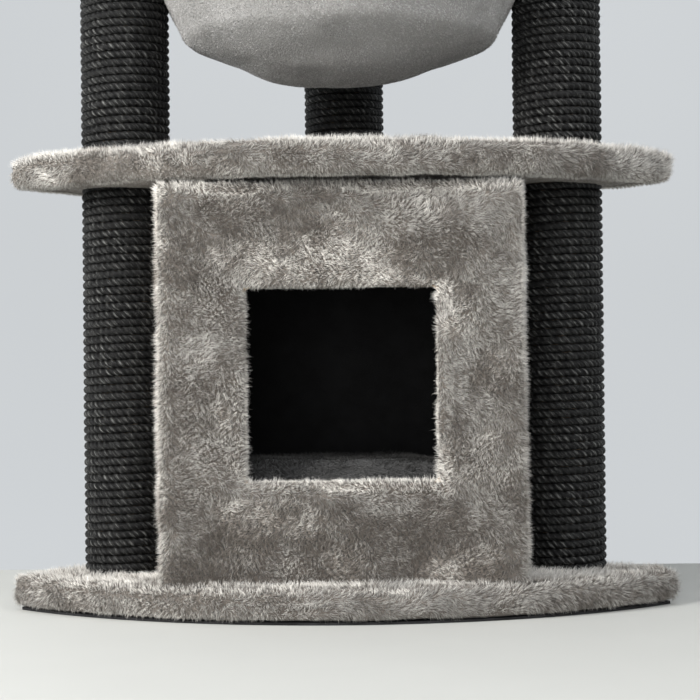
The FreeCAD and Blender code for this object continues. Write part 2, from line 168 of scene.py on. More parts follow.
def unit(vectors: Array) -> Array:
    """Each row scaled to length one."""
    return vectors / np.maximum(np.linalg.norm(vectors, axis=1, keepdims=True), 1e-12)


def smooth_line(points: Array, per_span: int) -> Array:
    """A Catmull-Rom line through some points.

    Args:
        points: one row for each point.
        per_span: steps between two points.

    Returns:
        The line's points, the last one included.
    """
    padded = np.vstack([2 * points[0] - points[1], points, 2 * points[-1] - points[-2]])
    share = np.linspace(0, 1, per_span, endpoint=False)[:, None]
    spans = []
    for a, b, c, d in zip(padded, padded[1:], padded[2:], padded[3:]):
        spans.append(0.5 * (2 * b + (c - a) * share + (2 * a - 5 * b + 4 * c - d) * share ** 2
                            + (3 * b - a - 3 * c + d) * share ** 3))
    return np.vstack([*spans, points[-1:]])


def steps(*marks: float, size: float) -> Array:
    """Values that pass through every mark, at most a step apart.

    Args:
        marks: values that must be met, in order.
        size: the largest step.

    Returns:
        The values, first and last mark included.
    """
    runs = [np.linspace(a, b, max(1, math.ceil(abs(b - a) / size)), endpoint=False)
            for a, b in zip(marks, marks[1:])]
    return np.concatenate([*runs, marks[-1:]])


# ------------------------------------------------------------------ meshes
def mesh_object(name: str, points: Array, faces: Array, material: bpy.types.Material,
                uvs: Array | None = None) -> bpy.types.Object:
    """A smooth mesh object from plain arrays.

    Args:
        name: the piece's name.
        points: one row of x, y, z for each point.
        faces: one row of point numbers for each face, all with as many corners.
        material: its finish.
        uvs: one row of u, v for each point, or None.

    Returns:
        The object, in the scene.
    """
    mesh = bpy.data.meshes.new(name)
    mesh.vertices.add(len(points))
    mesh.vertices.foreach_set("co", points.astype(np.float32).ravel())
    mesh.loops.add(faces.size)
    mesh.loops.foreach_set("vertex_index", faces.astype(np.int32).ravel())
    mesh.polygons.add(len(faces))
    mesh.polygons.foreach_set("loop_start", np.arange(0, faces.size, faces.shape[1], dtype=np.int32))
    if uvs is not None:
        layer = mesh.uv_layers.new(name=PILE_MAP)
        layer.data.foreach_set("uv", uvs[faces.ravel()].astype(np.float32).ravel())
    mesh.update(calc_edges=True)
    mesh.polygons.foreach_set("use_smooth", np.ones(len(faces), bool))
    mesh.materials.append(material)
    piece = bpy.data.objects.new(name, mesh)
    bpy.context.scene.collection.objects.link(piece)
    return piece


def hand_in(piece: bpy.types.Object, body: Body, slot: Slot, *nodes: str) -> bpy.types.Object:
    """Put a piece on its body and hide the CAD nodes that it replaces.

    Args:
        piece: the finished piece.
        body: the body that carries it.
        slot: the material slot of its finish; not used.
        nodes: the CAD nodes that it replaces.

    Returns:
        The same piece.
    """
    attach(piece, body.value)
    if nodes:
        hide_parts(*nodes)
    log.info("%s: %d faces", piece.name, len(piece.data.polygons))
    return piece


@dataclass
class Skin:
    """An open or closed sheet of four-sided faces that pile grows on."""
    points: Array
    quads: Array

    @classmethod
    def from_rings(cls, rings: list[Array], centre: Array | None = None) -> "Skin":
        """Join closed rings of equally many points.

        Args:
            rings: each ring's points, in order along the skin.
            centre: the point that closes the last ring, or None for an open end.

        Returns:
            The skin.
        """
        count = len(rings[0])
        around = np.arange(count)
        nxt = (around + 1) % count
        quads = [np.stack([around + i * count, nxt + i * count, nxt + (i + 1) * count,
                           around + (i + 1) * count], axis=1) for i in range(len(rings) - 1)]
        points = np.vstack(rings)
        if centre is not None:
            last = (len(rings) - 1) * count
            pairs = np.arange(0, count, 2)
            fan = np.stack([pairs + last, (pairs + 1) % count + last, (pairs + 2) % count + last,
                            np.full(len(pairs), len(points))], axis=1)
            quads.append(fan)
            points = np.vstack([points, centre[None]])
        return cls(points, np.vstack(quads))

    @classmethod
    def joined(cls, *skins: "Skin") -> "Skin":
        """Several skins as one."""
        starts = np.cumsum([0] + [len(s.points) for s in skins[:-1]])
        return cls(np.vstack([s.points for s in skins]),
                   np.vstack([s.quads + start for s, start in zip(skins, starts)]))

    def centres(self) -> Array:
        """The middle of each face."""
        return self.points[self.quads].mean(axis=1)

    def face_vectors(self) -> Array:
        """Each face's normal, as long as twice its area."""
        a, b, c, d = (self.points[self.quads[:, i]] for i in range(4))
        return np.cross(c - a, d - b)

    def normals(self) -> Array:
        """A smooth normal for each point."""
        total = np.zeros_like(self.points)
        vectors = self.face_vectors()
        for corner in range(4):
            np.add.at(total, self.quads[:, corner], vectors)
        return unit(total)

    def without(self, gone: Array) -> "Skin":
        """The skin with some faces taken out.

        Args:
            gone: True for each face that goes.

        Returns:
            A new skin that holds only points still in use.
        """
        quads = self.quads[~gone]
        used, renumbered = np.unique(quads, return_inverse=True)
        return Skin(self.points[used], renumbered.reshape(quads.shape))

    def pushed(self, heights: Array) -> "Skin":
        """The skin with each point moved along its normal."""
        return Skin(self.points + self.normals() * heights[:, None], self.quads)

    def scattered(self, per_area: float, rng: np.random.Generator) -> tuple[Array, Array]:
        """Random roots, evenly thick over the skin.

        Args:
            per_area: roots in each square metre.
            rng: the random numbers.

        Returns:
            The roots, and the skin's normal at each.
        """
        areas = np.linalg.norm(self.face_vectors(), axis=1) / 2
        count = int(areas.sum() * per_area)
        picked = rng.choice(len(areas), count, p=areas / areas.sum())
        u, v = rng.random((2, count, 1))
        corners = self.quads[picked]
        weights = ((1 - u) * (1 - v), u * (1 - v), u * v, (1 - u) * v)
        normals = self.normals()
        roots = sum(w * self.points[corners[:, i]] for i, w in enumerate(weights))
        return roots, unit(sum(w * normals[corners[:, i]] for i, w in enumerate(weights)))


# ------------------------------------------------------------------ pile
@dataclass(frozen=True)
class Pile:
    """How a plush's hairs stand: their size, thickness and lie. Lengths in metres."""
    length: float = 9.5 * MM
    length_spread: float = 0.26
    hair_radius: float = 0.42 * MM
    per_area: float = 300000.0
    lean: float = 40.0              # degrees from upright
    lean_swing: float = 24.0        # how much crushed patches differ, degrees
    lean_jitter: float = 12.0
    swirl: float = 150.0            # how far patches turn away from the combed way, degrees
    swirl_size: float = 0.065
    curl: float = 60.0              # the same within a tuft
    curl_size: float = 0.010
    jitter: float = 20.0
    tuft: float = 5.5 * MM          # hairs this near lean together
    tuft_pull: float = 0.62
    patch_sheen_and_shade: float = 0.38        # painted sheen and shade: how much paler or browner a patch is painted than the next
    tuft_tone: float = 0.10         # the same from tuft to tuft
    hair_tone: float = 0.15         # the same from hair to hair
    root_depth: float = 0.8 * MM
    hanging: float = 0.42           # length of the pile underneath, as a share of the rest

    def grow(self, name: str, skin: Skin, comb: Comb, noise: SmoothNoise,
             material: bpy.types.Material, keep: Keep | None = None,
             painted_light: Keep | None = None) -> list[bpy.types.Object]:
        """Grow hairs on a skin.

        Args:
            name: the pieces' name, before their number.
            skin: what they stand on.
            comb: the way that the pile was combed, the same all over or from the roots' places.
            noise: turns and crushes its patches.
            material: the hairs' finish.
            keep: says which roots stay, from their places; None keeps all.
            painted_light: says how much paler the pile is painted, as painted highlight, or browner as
                painted shade, from the roots' places; None changes nothing.

        Returns:
            One piece or more, none over the limit of hairs.
        """
        roots, normals = skin.scattered(self.per_area, noise.rng)
        if keep is not None:
            stays = keep(roots)
            roots, normals = roots[stays], normals[stays]
        ways = comb(roots) if callable(comb) else np.array([comb], float)
        paler = painted_light(roots) if painted_light else np.zeros(len(roots))
        points, uvs = self.hairs(roots, normals, ways, noise, paler)
        pieces = math.ceil(len(roots) / MAX_HAIRS)
        names = [name] if pieces == 1 else [f"{name}_{i + 1}" for i in range(pieces)]
        order = np.argsort(roots[:, 0], kind="stable")
        made = []
        for piece_name, chosen in zip(names, np.array_split(order, pieces)):
            count = len(chosen)
            faces = (np.array([[0, 1, 3], [1, 2, 3], [2, 0, 3], [0, 2, 1]])[None]
                     + 4 * np.arange(count)[:, None, None]).reshape(-1, 3)
            made.append(mesh_object(piece_name, points[chosen].reshape(-1, 3), faces, material,
                                    uvs[chosen].reshape(-1, 2)))
        return made

    def hairs(self, roots: Array, normals: Array, ways: Array, noise: SmoothNoise,
              paler: Array) -> tuple[Array, Array]:
        """Each hair's three root points and its tip.

        Args:
            roots: where they stand.
            normals: the skin's normal there.
            ways: the way that the pile was combed at each, or one for all.
            noise: turns and crushes its patches.
            paler: how much paler each is painted, as painted highlight, or browner below 0 as painted shade.

        Returns:
            The points, four for each hair, and their places on the map.
        """
        rng = noise.rng
        count = len(roots)
        ahead = ways - normals * np.sum(ways * normals, axis=1, keepdims=True)
        lost = np.linalg.norm(ahead, axis=1) < 0.1
        ahead[lost] = np.cross(normals[lost], (1.0, 0.0, 0.0))
        ahead = unit(ahead)
        aside = np.cross(normals, ahead)
        turn = np.radians(self.swirl * noise.at(roots, self.swirl_size)
                          + 0.35 * self.swirl * noise.at(roots + 3.1, self.swirl_size * 0.4)
                          + self.curl * noise.at(roots + 1.7, self.curl_size)
                          + rng.normal(0, self.jitter, count))
        lie = ahead * np.cos(turn)[:, None] + aside * np.sin(turn)[:, None]
        lean = np.radians(np.clip(self.lean + self.lean_swing * noise.at(roots + 5.3, self.swirl_size * 0.7)
                                  + 0.6 * self.lean_swing * noise.at(roots + 8.3, self.curl_size)
                                  + rng.normal(0, self.lean_jitter, count), 5, 84))
        length = self.length * (1 + self.length_spread * np.clip(rng.normal(0, 0.6, count), -1.4, 1.2))
        length *= np.interp(normals[:, 2], (-0.8, -0.1), (self.hanging, 1.0))
        reach = normals * np.cos(lean)[:, None] + lie * np.sin(lean)[:, None]
        skewed = roots @ TUFT_TURN
        wave = TUFT_WAVE * np.sin(skewed[:, (1, 2, 0)] / self.tuft * TUFT_WAVES)
        cell = np.floor(skewed / self.tuft + wave).astype(int)
        index = (cell * (3, 5, 7) + (1, 2, 3)) % noise.CELLS
        offset = np.stack([noise.lattice[index[:, i], index[:, (i + 1) % 3], index[:, (i + 2) % 3]]
                           for i in range(3)], axis=1)
        middle = (cell + 0.5 - wave + TUFT_SCATTER * offset) * self.tuft
        pull = (middle - skewed) @ TUFT_TURN.T * self.tuft_pull
        pull -= normals * np.sum(pull * normals, axis=1, keepdims=True)
        tips = roots + reach * length[:, None] + pull
        tips[:, 2] = np.maximum(tips[:, 2], LOWEST_TIP)
        spin = rng.uniform(0, 2 * math.pi, count)
        base = roots - normals * self.root_depth
        radius = self.hair_radius * rng.uniform(0.75, 1.25, count)
        corners = []
        for third in range(3):
            angle = spin + third * 2 * math.pi / 3
            corners.append(base + ahead * (radius * np.cos(angle))[:, None]
                           + aside * (radius * np.sin(angle))[:, None])
        # painted sheen and shade: the pile's patches, and hairs that lean upward, are painted paler, the rest
        # browner
        sheen_and_shade = 0.55 * noise.at(roots + 2.2, self.swirl_size * 0.8) \
            + 0.55 * noise.at(roots + 7.7, self.swirl_size * 0.32) + 0.4 * reach[:, 2]
        tone = np.clip(0.5 + paler + self.patch_sheen_and_shade * sheen_and_shade + self.tuft_tone * TUFT_TONE_GAIN * offset[:, 0]
                       + self.hair_tone * rng.normal(0, 1, count), 0.03, 0.97)
        half = 0.012
        uvs = np.stack([np.stack([tone - half, np.full(count, 0.02)], axis=1),
                        np.stack([tone + half, np.full(count, 0.02)], axis=1),
                        np.stack([tone, np.full(count, 0.035)], axis=1),
                        np.stack([tone, np.full(count, 0.98)], axis=1)], axis=1)
        return np.stack([*corners, tips], axis=1), uvs


# ------------------------------------------------------------------ shader building
Tree = bpy.types.NodeTree
Socket = bpy.types.NodeSocket


def add(tree: Tree, kind: str, inputs: dict[str | int, object] | None = None,
        **settings: object) -> bpy.types.Node:
    """Add one shader node.

    Args:
        tree: where it goes.
        kind: the node's type, without the word ShaderNode.
        inputs: for each socket, a value or the socket that feeds it.
        settings: the node's own settings.

    Returns:
        The node.
    """
    node = tree.nodes.new("ShaderNode" + kind)
    for name, value in settings.items():
        setattr(node, name, value)
    for name, value in (inputs or {}).items():
        if isinstance(value, bpy.types.NodeSocket):
            tree.links.new(value, node.inputs[name])
        else:
            node.inputs[name].default_value = value
    return node


def calc(tree: Tree, operation: str, *values: float | Socket) -> Socket:
    """One sum: the result of a Math node on some values."""
    return add(tree, "Math", dict(enumerate(values)), operation=operation).outputs[0]


def mixed(tree: Tree, mask: float | Socket, low: object, high: object, blend: str = "MIX") -> Socket:
    """Two colours mixed by a mask.

    Args:
        tree: where the node goes.
        mask: 0 gives low, 1 gives high.
        low: a colour or a socket.
        high: a colour or a socket.
        blend: how they mix.

    Returns:
        The mixed colour.
    """
    inputs = {0: mask, 6: low, 7: high}
    return add(tree, "Mix", inputs, data_type="RGBA", blend_type=blend).outputs[2]


def ranged(tree: Tree, value: Socket, low: float | Socket, high: float | Socket,
           to_low: float = 0.0, to_high: float = 1.0) -> Socket:
    """A value spread from one range to another, and kept inside it."""
    return add(tree, "MapRange", {0: value, 1: low, 2: high, 3: to_low, 4: to_high}).outputs[0]


def rgba(colour: tuple[float, float, float]) -> tuple[float, float, float, float]:
    """A colour with full alpha."""
    return (*colour, 1.0)


class Effects:
    """The shader node groups that several finishes share, each made when first asked for."""

    def __init__(self) -> None:
        """Start with none made."""
        self.made: dict[str, bpy.types.NodeTree] = {}

    def start(self, name: str, inputs: dict[str, float | tuple], outputs: dict[str, str]) -> tuple:
        """Begin a group.

        Args:
            name: the group's name.
            inputs: each input's name and its first value; a tuple makes a colour.
            outputs: each output's name and socket type.

        Returns:
            The group's tree, its input node and its output node.
        """
        tree = bpy.data.node_groups.new(name, "ShaderNodeTree")
        for label, value in inputs.items():
            kind = "NodeSocketColor" if isinstance(value, tuple) else "NodeSocketFloat"
            socket = tree.interface.new_socket(label, in_out="INPUT", socket_type=kind)
            socket.default_value = value
        for label, kind in outputs.items():
            tree.interface.new_socket(label, in_out="OUTPUT", socket_type=kind)
        self.made[name] = tree
        return tree, tree.nodes.new("NodeGroupInput"), tree.nodes.new("NodeGroupOutput")

    def place(self, tree: Tree, name: str, inputs: dict[str, object]) -> bpy.types.Node:
        """Put a group into a material.

        Args:
            tree: the material's tree.
            name: the group, by the name of the method that makes it.
            inputs: values or sockets for its inputs.

        Returns:
            The group node.
        """
        if name not in self.made:
            getattr(self, name)()
        node = tree.nodes.new("ShaderNodeGroup")
        node.node_tree = self.made[name]
        for label, value in inputs.items():
            if isinstance(value, bpy.types.NodeSocket):
                tree.links.new(value, node.inputs[label])
            else:
                node.inputs[label].default_value = value
        return node

    def pile_tone(self) -> None:
        """A hair's colour: dark at its root as painted shade deep in the pile, pale at its tip, and paler or
        browner with its tone on the map, which carries painted sheen and shade of the pile's patches as well
        as random differences from hair to hair.
        """
        tree, given, out = self.start(
            "pile_tone", {"Root": (0.1, 0.1, 0.1, 1), "Tip": (0.5, 0.5, 0.5, 1), "Warm": (0.4, 0.35, 0.3, 1),
                          "Rise": 1.3, "Spread": 0.5},
            {"Colour": "NodeSocketColor"})
        place = add(tree, "SeparateXYZ", {0: add(tree, "UVMap", uv_map=PILE_MAP).outputs[0]})
        along = calc(tree, "POWER", place.outputs[1], given.outputs["Rise"])
        shade = mixed(tree, along, given.outputs["Root"], given.outputs["Tip"])
        off = calc(tree, "SUBTRACT", place.outputs[0], 0.5)
        gain = calc(tree, "MULTIPLY_ADD", calc(tree, "MULTIPLY", off, given.outputs["Spread"]), 2.0, 1.0)
        warm = mixed(tree, along, given.outputs["Root"], given.outputs["Warm"])
        tint = mixed(tree, ranged(tree, place.outputs[0], 0.15, 0.6, 1.0, 0.0), shade, warm)
        gains = add(tree, "CombineXYZ", {0: gain, 1: gain, 2: gain}).outputs[0]
        lit = add(tree, "VectorMath", {0: tint, 1: gains}, operation="MULTIPLY")
        tree.links.new(lit.outputs[0], out.inputs["Colour"])

    def mottle(self) -> None:
        """Soft uneven patches, at a large and a small size."""
        tree, given, out = self.start("mottle", {"Scale": 20.0, "Fine": 6.0, "Low": 0.35, "High": 0.65},
                                      {"Mask": "NodeSocketFloat"})
        place = add(tree, "TexCoord").outputs["Object"]
        large = add(tree, "TexNoise", {"Vector": place, "Scale": given.outputs["Scale"], "Detail": 3.0})
        fine_scale = calc(tree, "MULTIPLY", given.outputs["Scale"], given.outputs["Fine"])
        fine = add(tree, "TexNoise", {"Vector": place, "Scale": fine_scale, "Detail": 4.0})
        both = calc(tree, "MULTIPLY_ADD", fine.outputs[0], 0.4, calc(tree, "MULTIPLY", large.outputs[0], 0.6))
        mask = ranged(tree, both, given.outputs["Low"], given.outputs["High"])
        tree.links.new(mask, out.inputs["Mask"])

    def grain(self) -> None:
        """Long fine streaks, as fibres, wood grain or brushed metal show them."""
        tree, given, out = self.start("grain", {"Across": 900.0, "Along": 60.0, "Low": 0.3, "High": 0.7},
                                      {"Mask": "NodeSocketFloat"})
        place = add(tree, "TexCoord").outputs["Object"]
        scale = add(tree, "CombineXYZ", {0: given.outputs["Across"], 1: given.outputs["Across"],
                                         2: given.outputs["Along"]}).outputs[0]
        stretched = add(tree, "VectorMath", {0: place, 1: scale}, operation="MULTIPLY").outputs[0]
        streaks = add(tree, "TexNoise", {"Vector": stretched, "Scale": 1.0, "Detail": 3.0, "Distortion": 0.4})
        mask = ranged(tree, streaks.outputs[0], given.outputs["Low"], given.outputs["High"])
        tree.links.new(mask, out.inputs["Mask"])

    def edge_wear(self) -> None:
        """Where a hard piece has rubbed: its outer edges, broken up."""
        tree, given, out = self.start("edge_wear", {"Low": 0.52, "High": 0.62, "Scale": 300.0},
                                      {"Mask": "NodeSocketFloat"})
        edges = ranged(tree, add(tree, "NewGeometry").outputs["Pointiness"], given.outputs["Low"],
                       given.outputs["High"])
        place = add(tree, "TexCoord").outputs["Object"]
        specks = add(tree, "TexNoise", {"Vector": place, "Scale": given.outputs["Scale"], "Detail": 4.0})
        mask = calc(tree, "MULTIPLY", edges, ranged(tree, specks.outputs[0], 0.4, 0.6))
        tree.links.new(mask, out.inputs["Mask"])

    def weave(self) -> None:
        """Threads that cross over and under each other."""
        tree, given, out = self.start("weave", {"Pitch": 0.0012}, {"Height": "NodeSocketFloat"})
        place = add(tree, "SeparateXYZ", {0: add(tree, "TexCoord").outputs["Object"]})
        turn = calc(tree, "DIVIDE", math.pi, given.outputs["Pitch"])
        level = calc(tree, "ADD", place.outputs[0], place.outputs[1])
        waves = [calc(tree, "SINE", calc(tree, "MULTIPLY", axis, turn)) for axis in (level, place.outputs[2])]
        height = calc(tree, "MULTIPLY_ADD", calc(tree, "MULTIPLY", *waves), 0.5, 0.5)
        tree.links.new(height, out.inputs["Height"])


effects = Effects()


@dataclass(frozen=True)
class Finish:
    """What every finish has: a name, a main colour and how rough it is."""
    name: str
    colour: tuple[float, float, float]
    roughness: float = 0.7

    def start(self, **values: float | tuple) -> tuple[bpy.types.Material, Tree, bpy.types.Node]:
        """Begin the material.

        Args:
            values: plain values for the shader's sockets, named with underscores for spaces.

        Returns:
            The material, its tree and its Principled node.
        """
        material = bpy.data.materials.new(self.name)
        material.use_nodes = True
        material.diffuse_color = rgba(self.colour)
        tree = material.node_tree
        shader = tree.nodes["Principled BSDF"]
        shader.inputs["Roughness"].default_value = self.roughness
        shader.inputs["Base Color"].default_value = rgba(self.colour)
        for label, value in values.items():
            shader.inputs[label.replace("_", " ")].default_value = value
        return material, tree, shader

    @staticmethod
    def bump(tree: Tree, shader: bpy.types.Node, height: Socket, depth: float, strength: float = 1.0) -> None:
        """Raise the surface by a height.

        Args:
            tree: the material's tree.
            shader: its Principled node.
            height: from 0 to 1.
            depth: how deep 1 is, in metres.
            strength: how much of it shows.
        """
        node = add(tree, "Bump", {"Height": height, "Distance": depth, "Strength": strength})
        tree.links.new(node.outputs[0], shader.inputs["Normal"])


@dataclass(frozen=True)
class PileFinish(Finish):
    """Hairs of plush, their root colour a painted shade deep in the pile."""
    root: tuple[float, float, float] = (0.09, 0.08, 0.07)
    warm: tuple[float, float, float] = (0.30, 0.26, 0.22)
    rise: float = 0.9
    spread: float = 0.35
    sheen: float = 0.25

    def material(self) -> bpy.types.Material:
        """The hairs' material."""
        material, tree, shader = self.start(Sheen_Weight=self.sheen, Sheen_Roughness=0.4,
                                            Specular_IOR_Level=0.35)
        tone = effects.place(tree, "pile_tone", {
            "Root": rgba(self.root), "Tip": rgba(self.colour), "Warm": rgba(self.warm), "Rise": self.rise,
            "Spread": self.spread})
        tree.links.new(tone.outputs["Colour"], shader.inputs["Base Color"])
        return material


@dataclass(frozen=True)
class BackingFinish(Finish):
    """The knitted ground under the pile, seen only between the hairs, coloured dark as painted shade between
    them.
    """
    shade: tuple[float, float, float] = (0.06, 0.05, 0.045)
    patch_scale: float = 25.0

    def material(self) -> bpy.types.Material:
        """The ground's material."""
        material, tree, shader = self.start(Sheen_Weight=0.2)
        patches = effects.place(tree, "mottle", {"Scale": self.patch_scale, "Fine": 12.0})
        colour = mixed(tree, patches.outputs[0], rgba(self.shade), rgba(self.colour))
        tree.links.new(colour, shader.inputs["Base Color"])
        fine = effects.place(tree, "mottle", {"Scale": 400.0, "Fine": 3.0})
        self.bump(tree, shader, fine.outputs[0], 1.5 * MM)
        return material


@dataclass(frozen=True)
class RopeFinish(Finish):
    """Dyed sisal: dull fibres with pale ones among them, the pale ones also painted glints; the strands'
    ridges painted lighter, partly wear and partly painted highlight, and their grooves near black as painted
    shade.
    """
    pale: tuple[float, float, float] = (0.46, 0.46, 0.44)
    # near black in the strands' grooves: painted shade
    deep: tuple[float, float, float] = (0.002, 0.002, 0.002)
    fibre_scale: float = 34.0

    def material(self) -> bpy.types.Material:
        """The rope's material, drawn on its own map so that fibres follow the strands."""
        material, tree, shader = self.start(Specular_IOR_Level=0.2)
        place = add(tree, "UVMap", uv_map=PILE_MAP).outputs[0]
        fibres = self.streaks(tree, place, (22.0, self.fibre_scale, 1.0))
        clumps = self.streaks(tree, place, (60.0, 9.0, 1.0))
        mask = calc(tree, "MULTIPLY", ranged(tree, fibres, 0.53, 0.66), ranged(tree, clumps, 0.42, 0.58))
        across = add(tree, "SeparateXYZ", {0: place}).outputs[1]
        turns = 3 * math.pi / MAP_HEIGHT
        around = calc(tree, "MULTIPLY_ADD", across, turns, -MAP_FOOT * turns)
        ridge = calc(tree, "MULTIPLY_ADD", calc(tree, "COSINE", around), -0.5, 0.5)
        # painted highlight and shade: ridges lighter, partly wear, grooves near black; pale fibres, partly
        # painted glints, show mostly on the ridges
        worn = mixed(tree, calc(tree, "POWER", ridge, 1.6), rgba(self.deep), rgba(self.colour))
        showing = calc(tree, "MULTIPLY", mask, calc(tree, "MULTIPLY_ADD", ridge, 0.85, 0.15))
        colour = mixed(tree, showing, worn, rgba(self.pale))
        tree.links.new(colour, shader.inputs["Base Color"])
        fibres = calc(tree, "MULTIPLY_ADD", ridge, 0.8, fibres)
        tree.links.new(ranged(tree, clumps, 0.3, 0.7, self.roughness - 0.12, self.roughness + 0.1),
                       shader.inputs["Roughness"])
        self.bump(tree, shader, fibres, 1.2 * MM)
        return material

    @staticmethod
    def streaks(tree: Tree, place: Socket, scale: tuple[float, float, float]) -> Socket:
        """Noise drawn out along the strands."""
        stretched = add(tree, "VectorMath", {0: place, 1: scale}, operation="MULTIPLY").outputs[0]
        return add(tree, "TexNoise", {"Vector": stretched, "Scale": 1.0, "Detail": 5.0}).outputs[0]


@dataclass(frozen=True)
class ClothFinish(Finish):
    """Woven or felted cloth with no pile."""
    shade: tuple[float, float, float] = (0.01, 0.01, 0.01)
    pitch: float = 1.2 * MM
    woven: bool = True

    def material(self) -> bpy.types.Material:
        """The cloth's material."""
        material, tree, shader = self.start(Specular_IOR_Level=0.2)
        patches = effects.place(tree, "mottle", {"Scale": 40.0, "Fine": 20.0})
        colour = mixed(tree, patches.outputs[0], rgba(self.shade), rgba(self.colour))
        tree.links.new(colour, shader.inputs["Base Color"])
        if self.woven:
            height = effects.place(tree, "weave", {"Pitch": self.pitch}).outputs[0]
        else:
            height = effects.place(tree, "mottle", {"Scale": 600.0, "Fine": 4.0}).outputs[0]
        self.bump(tree, shader, height, 0.4 * MM)
        return material


@dataclass(frozen=True)
class WoodFinish(Finish):
    """Plain wood, board or card, with streaks or chips."""
    dark: tuple[float, float, float] = (0.3, 0.2, 0.1)
    across: float = 700.0
    along: float = 30.0
    chips: bool = False

    def material(self) -> bpy.types.Material:
        """The wood's material."""
        material, tree, shader = self.start(Specular_IOR_Level=0.3)
        grain = effects.place(tree, "grain", {"Across": self.across, "Along": self.along}).outputs[0]
        mask = grain
        if self.chips:
            place = add(tree, "TexCoord").outputs["Object"]
            chip = add(tree, "TexVoronoi", {"Vector": place, "Scale": 320.0, "Randomness": 1.0})
            shade = add(tree, "SeparateColor", {0: chip.outputs["Color"]}).outputs[0]
            mask = calc(tree, "MULTIPLY_ADD", grain, 0.4, calc(tree, "MULTIPLY", shade, 0.6))
        patches = effects.place(tree, "mottle", {"Scale": 12.0, "Fine": 5.0}).outputs[0]
        aged = mixed(tree, mask, rgba(self.dark), rgba(self.colour))
        tree.links.new(mixed(tree, calc(tree, "MULTIPLY", patches, 0.25), aged, rgba(self.dark)),
                       shader.inputs["Base Color"])
        self.bump(tree, shader, mask, 0.3 * MM, 0.6)
        return material


@dataclass(frozen=True)
class SteelFinish(Finish):
    """Zinc-plated or powder-coated steel, rubbed bare along its edges."""
    metallic: float = 1.0
    worn: tuple[float, float, float] = (0.45, 0.44, 0.42)
    texture: float = 900.0

    def material(self) -> bpy.types.Material:
        """The steel's material."""
        material, tree, shader = self.start(Metallic=self.metallic)
        wear = effects.place(tree, "edge_wear", {}).outputs[0]
        patches = effects.place(tree, "mottle", {"Scale": self.texture, "Fine": 2.0}).outputs[0]
        dull = mixed(tree, calc(tree, "MULTIPLY", patches, 0.3), rgba(self.colour),
                     rgba(tuple(0.6 * c for c in self.colour)))
        tree.links.new(mixed(tree, wear, dull, rgba(self.worn)), shader.inputs["Base Color"])
        tree.links.new(ranged(tree, patches, 0.0, 1.0, self.roughness - 0.08, self.roughness + 0.1),
                       shader.inputs["Roughness"])
        self.bump(tree, shader, patches, 0.15 * MM, 0.5)
        return material


@dataclass(frozen=True)
class Finishes:
    """Every finish on the tree."""
    plush_hair: PileFinish = PileFinish("plush_hair", (0.80, 0.775, 0.73), 0.55, root=(0.15, 0.13, 0.11),
                                        warm=(0.37, 0.315, 0.265), spread=0.5)
    plush_ground: BackingFinish = BackingFinish("plush_ground", (0.24, 0.21, 0.18), 0.9,
                                                shade=(0.14, 0.12, 0.10))
    # the cushion's hair and ground are near black as painted shade of the house's inside
    cushion_hair: PileFinish = PileFinish("cushion_hair", (0.045, 0.044, 0.042), 0.65,
                                          root=(0.015, 0.0145, 0.0135),
                                          warm=(0.025, 0.024, 0.022), sheen=0.05)
    cushion_ground: BackingFinish = BackingFinish("cushion_ground", (0.03, 0.029, 0.028), 0.9,
                                                  shade=(0.012, 0.0115, 0.011))
    hammock_hair: PileFinish = PileFinish("hammock_hair", (0.86, 0.855, 0.845), 0.5, root=(0.32, 0.31, 0.305),
                                          warm=(0.46, 0.43, 0.40), spread=0.35, sheen=0.35)
    hammock_ground: BackingFinish = BackingFinish("hammock_ground", (0.36, 0.35, 0.34), 0.9,
                                                  shade=(0.28, 0.27, 0.26))
    rope: RopeFinish = RopeFinish("black_sisal", (0.008, 0.008, 0.0085), 0.55)
    tube: WoodFinish = WoodFinish("wound_card", (0.42, 0.30, 0.19), 0.85, dark=(0.30, 0.21, 0.13),
                                  across=200.0,
                                  along=90.0)
    plug: WoodFinish = WoodFinish("turned_wood", (0.62, 0.46, 0.29), 0.6, dark=(0.42, 0.28, 0.16))
    board: WoodFinish = WoodFinish("particle_board", (0.58, 0.45, 0.31), 0.8, dark=(0.33, 0.23, 0.14),
                                   chips=True)
    felt: ClothFinish = ClothFinish("needle_felt", (0.035, 0.035, 0.037), 0.95, woven=False)
    lining: ClothFinish = ClothFinish("dark_lining", (0.011, 0.011, 0.0115), 0.9, shade=(0.006, 0.006, 0.006))
    hook: SteelFinish = SteelFinish("black_powder_coat", (0.02, 0.02, 0.02), 0.45, metallic=0.0,
                                    worn=(0.12, 0.12, 0.12))
    zinc: SteelFinish = SteelFinish("bright_zinc", (0.62, 0.62, 0.60), 0.32)


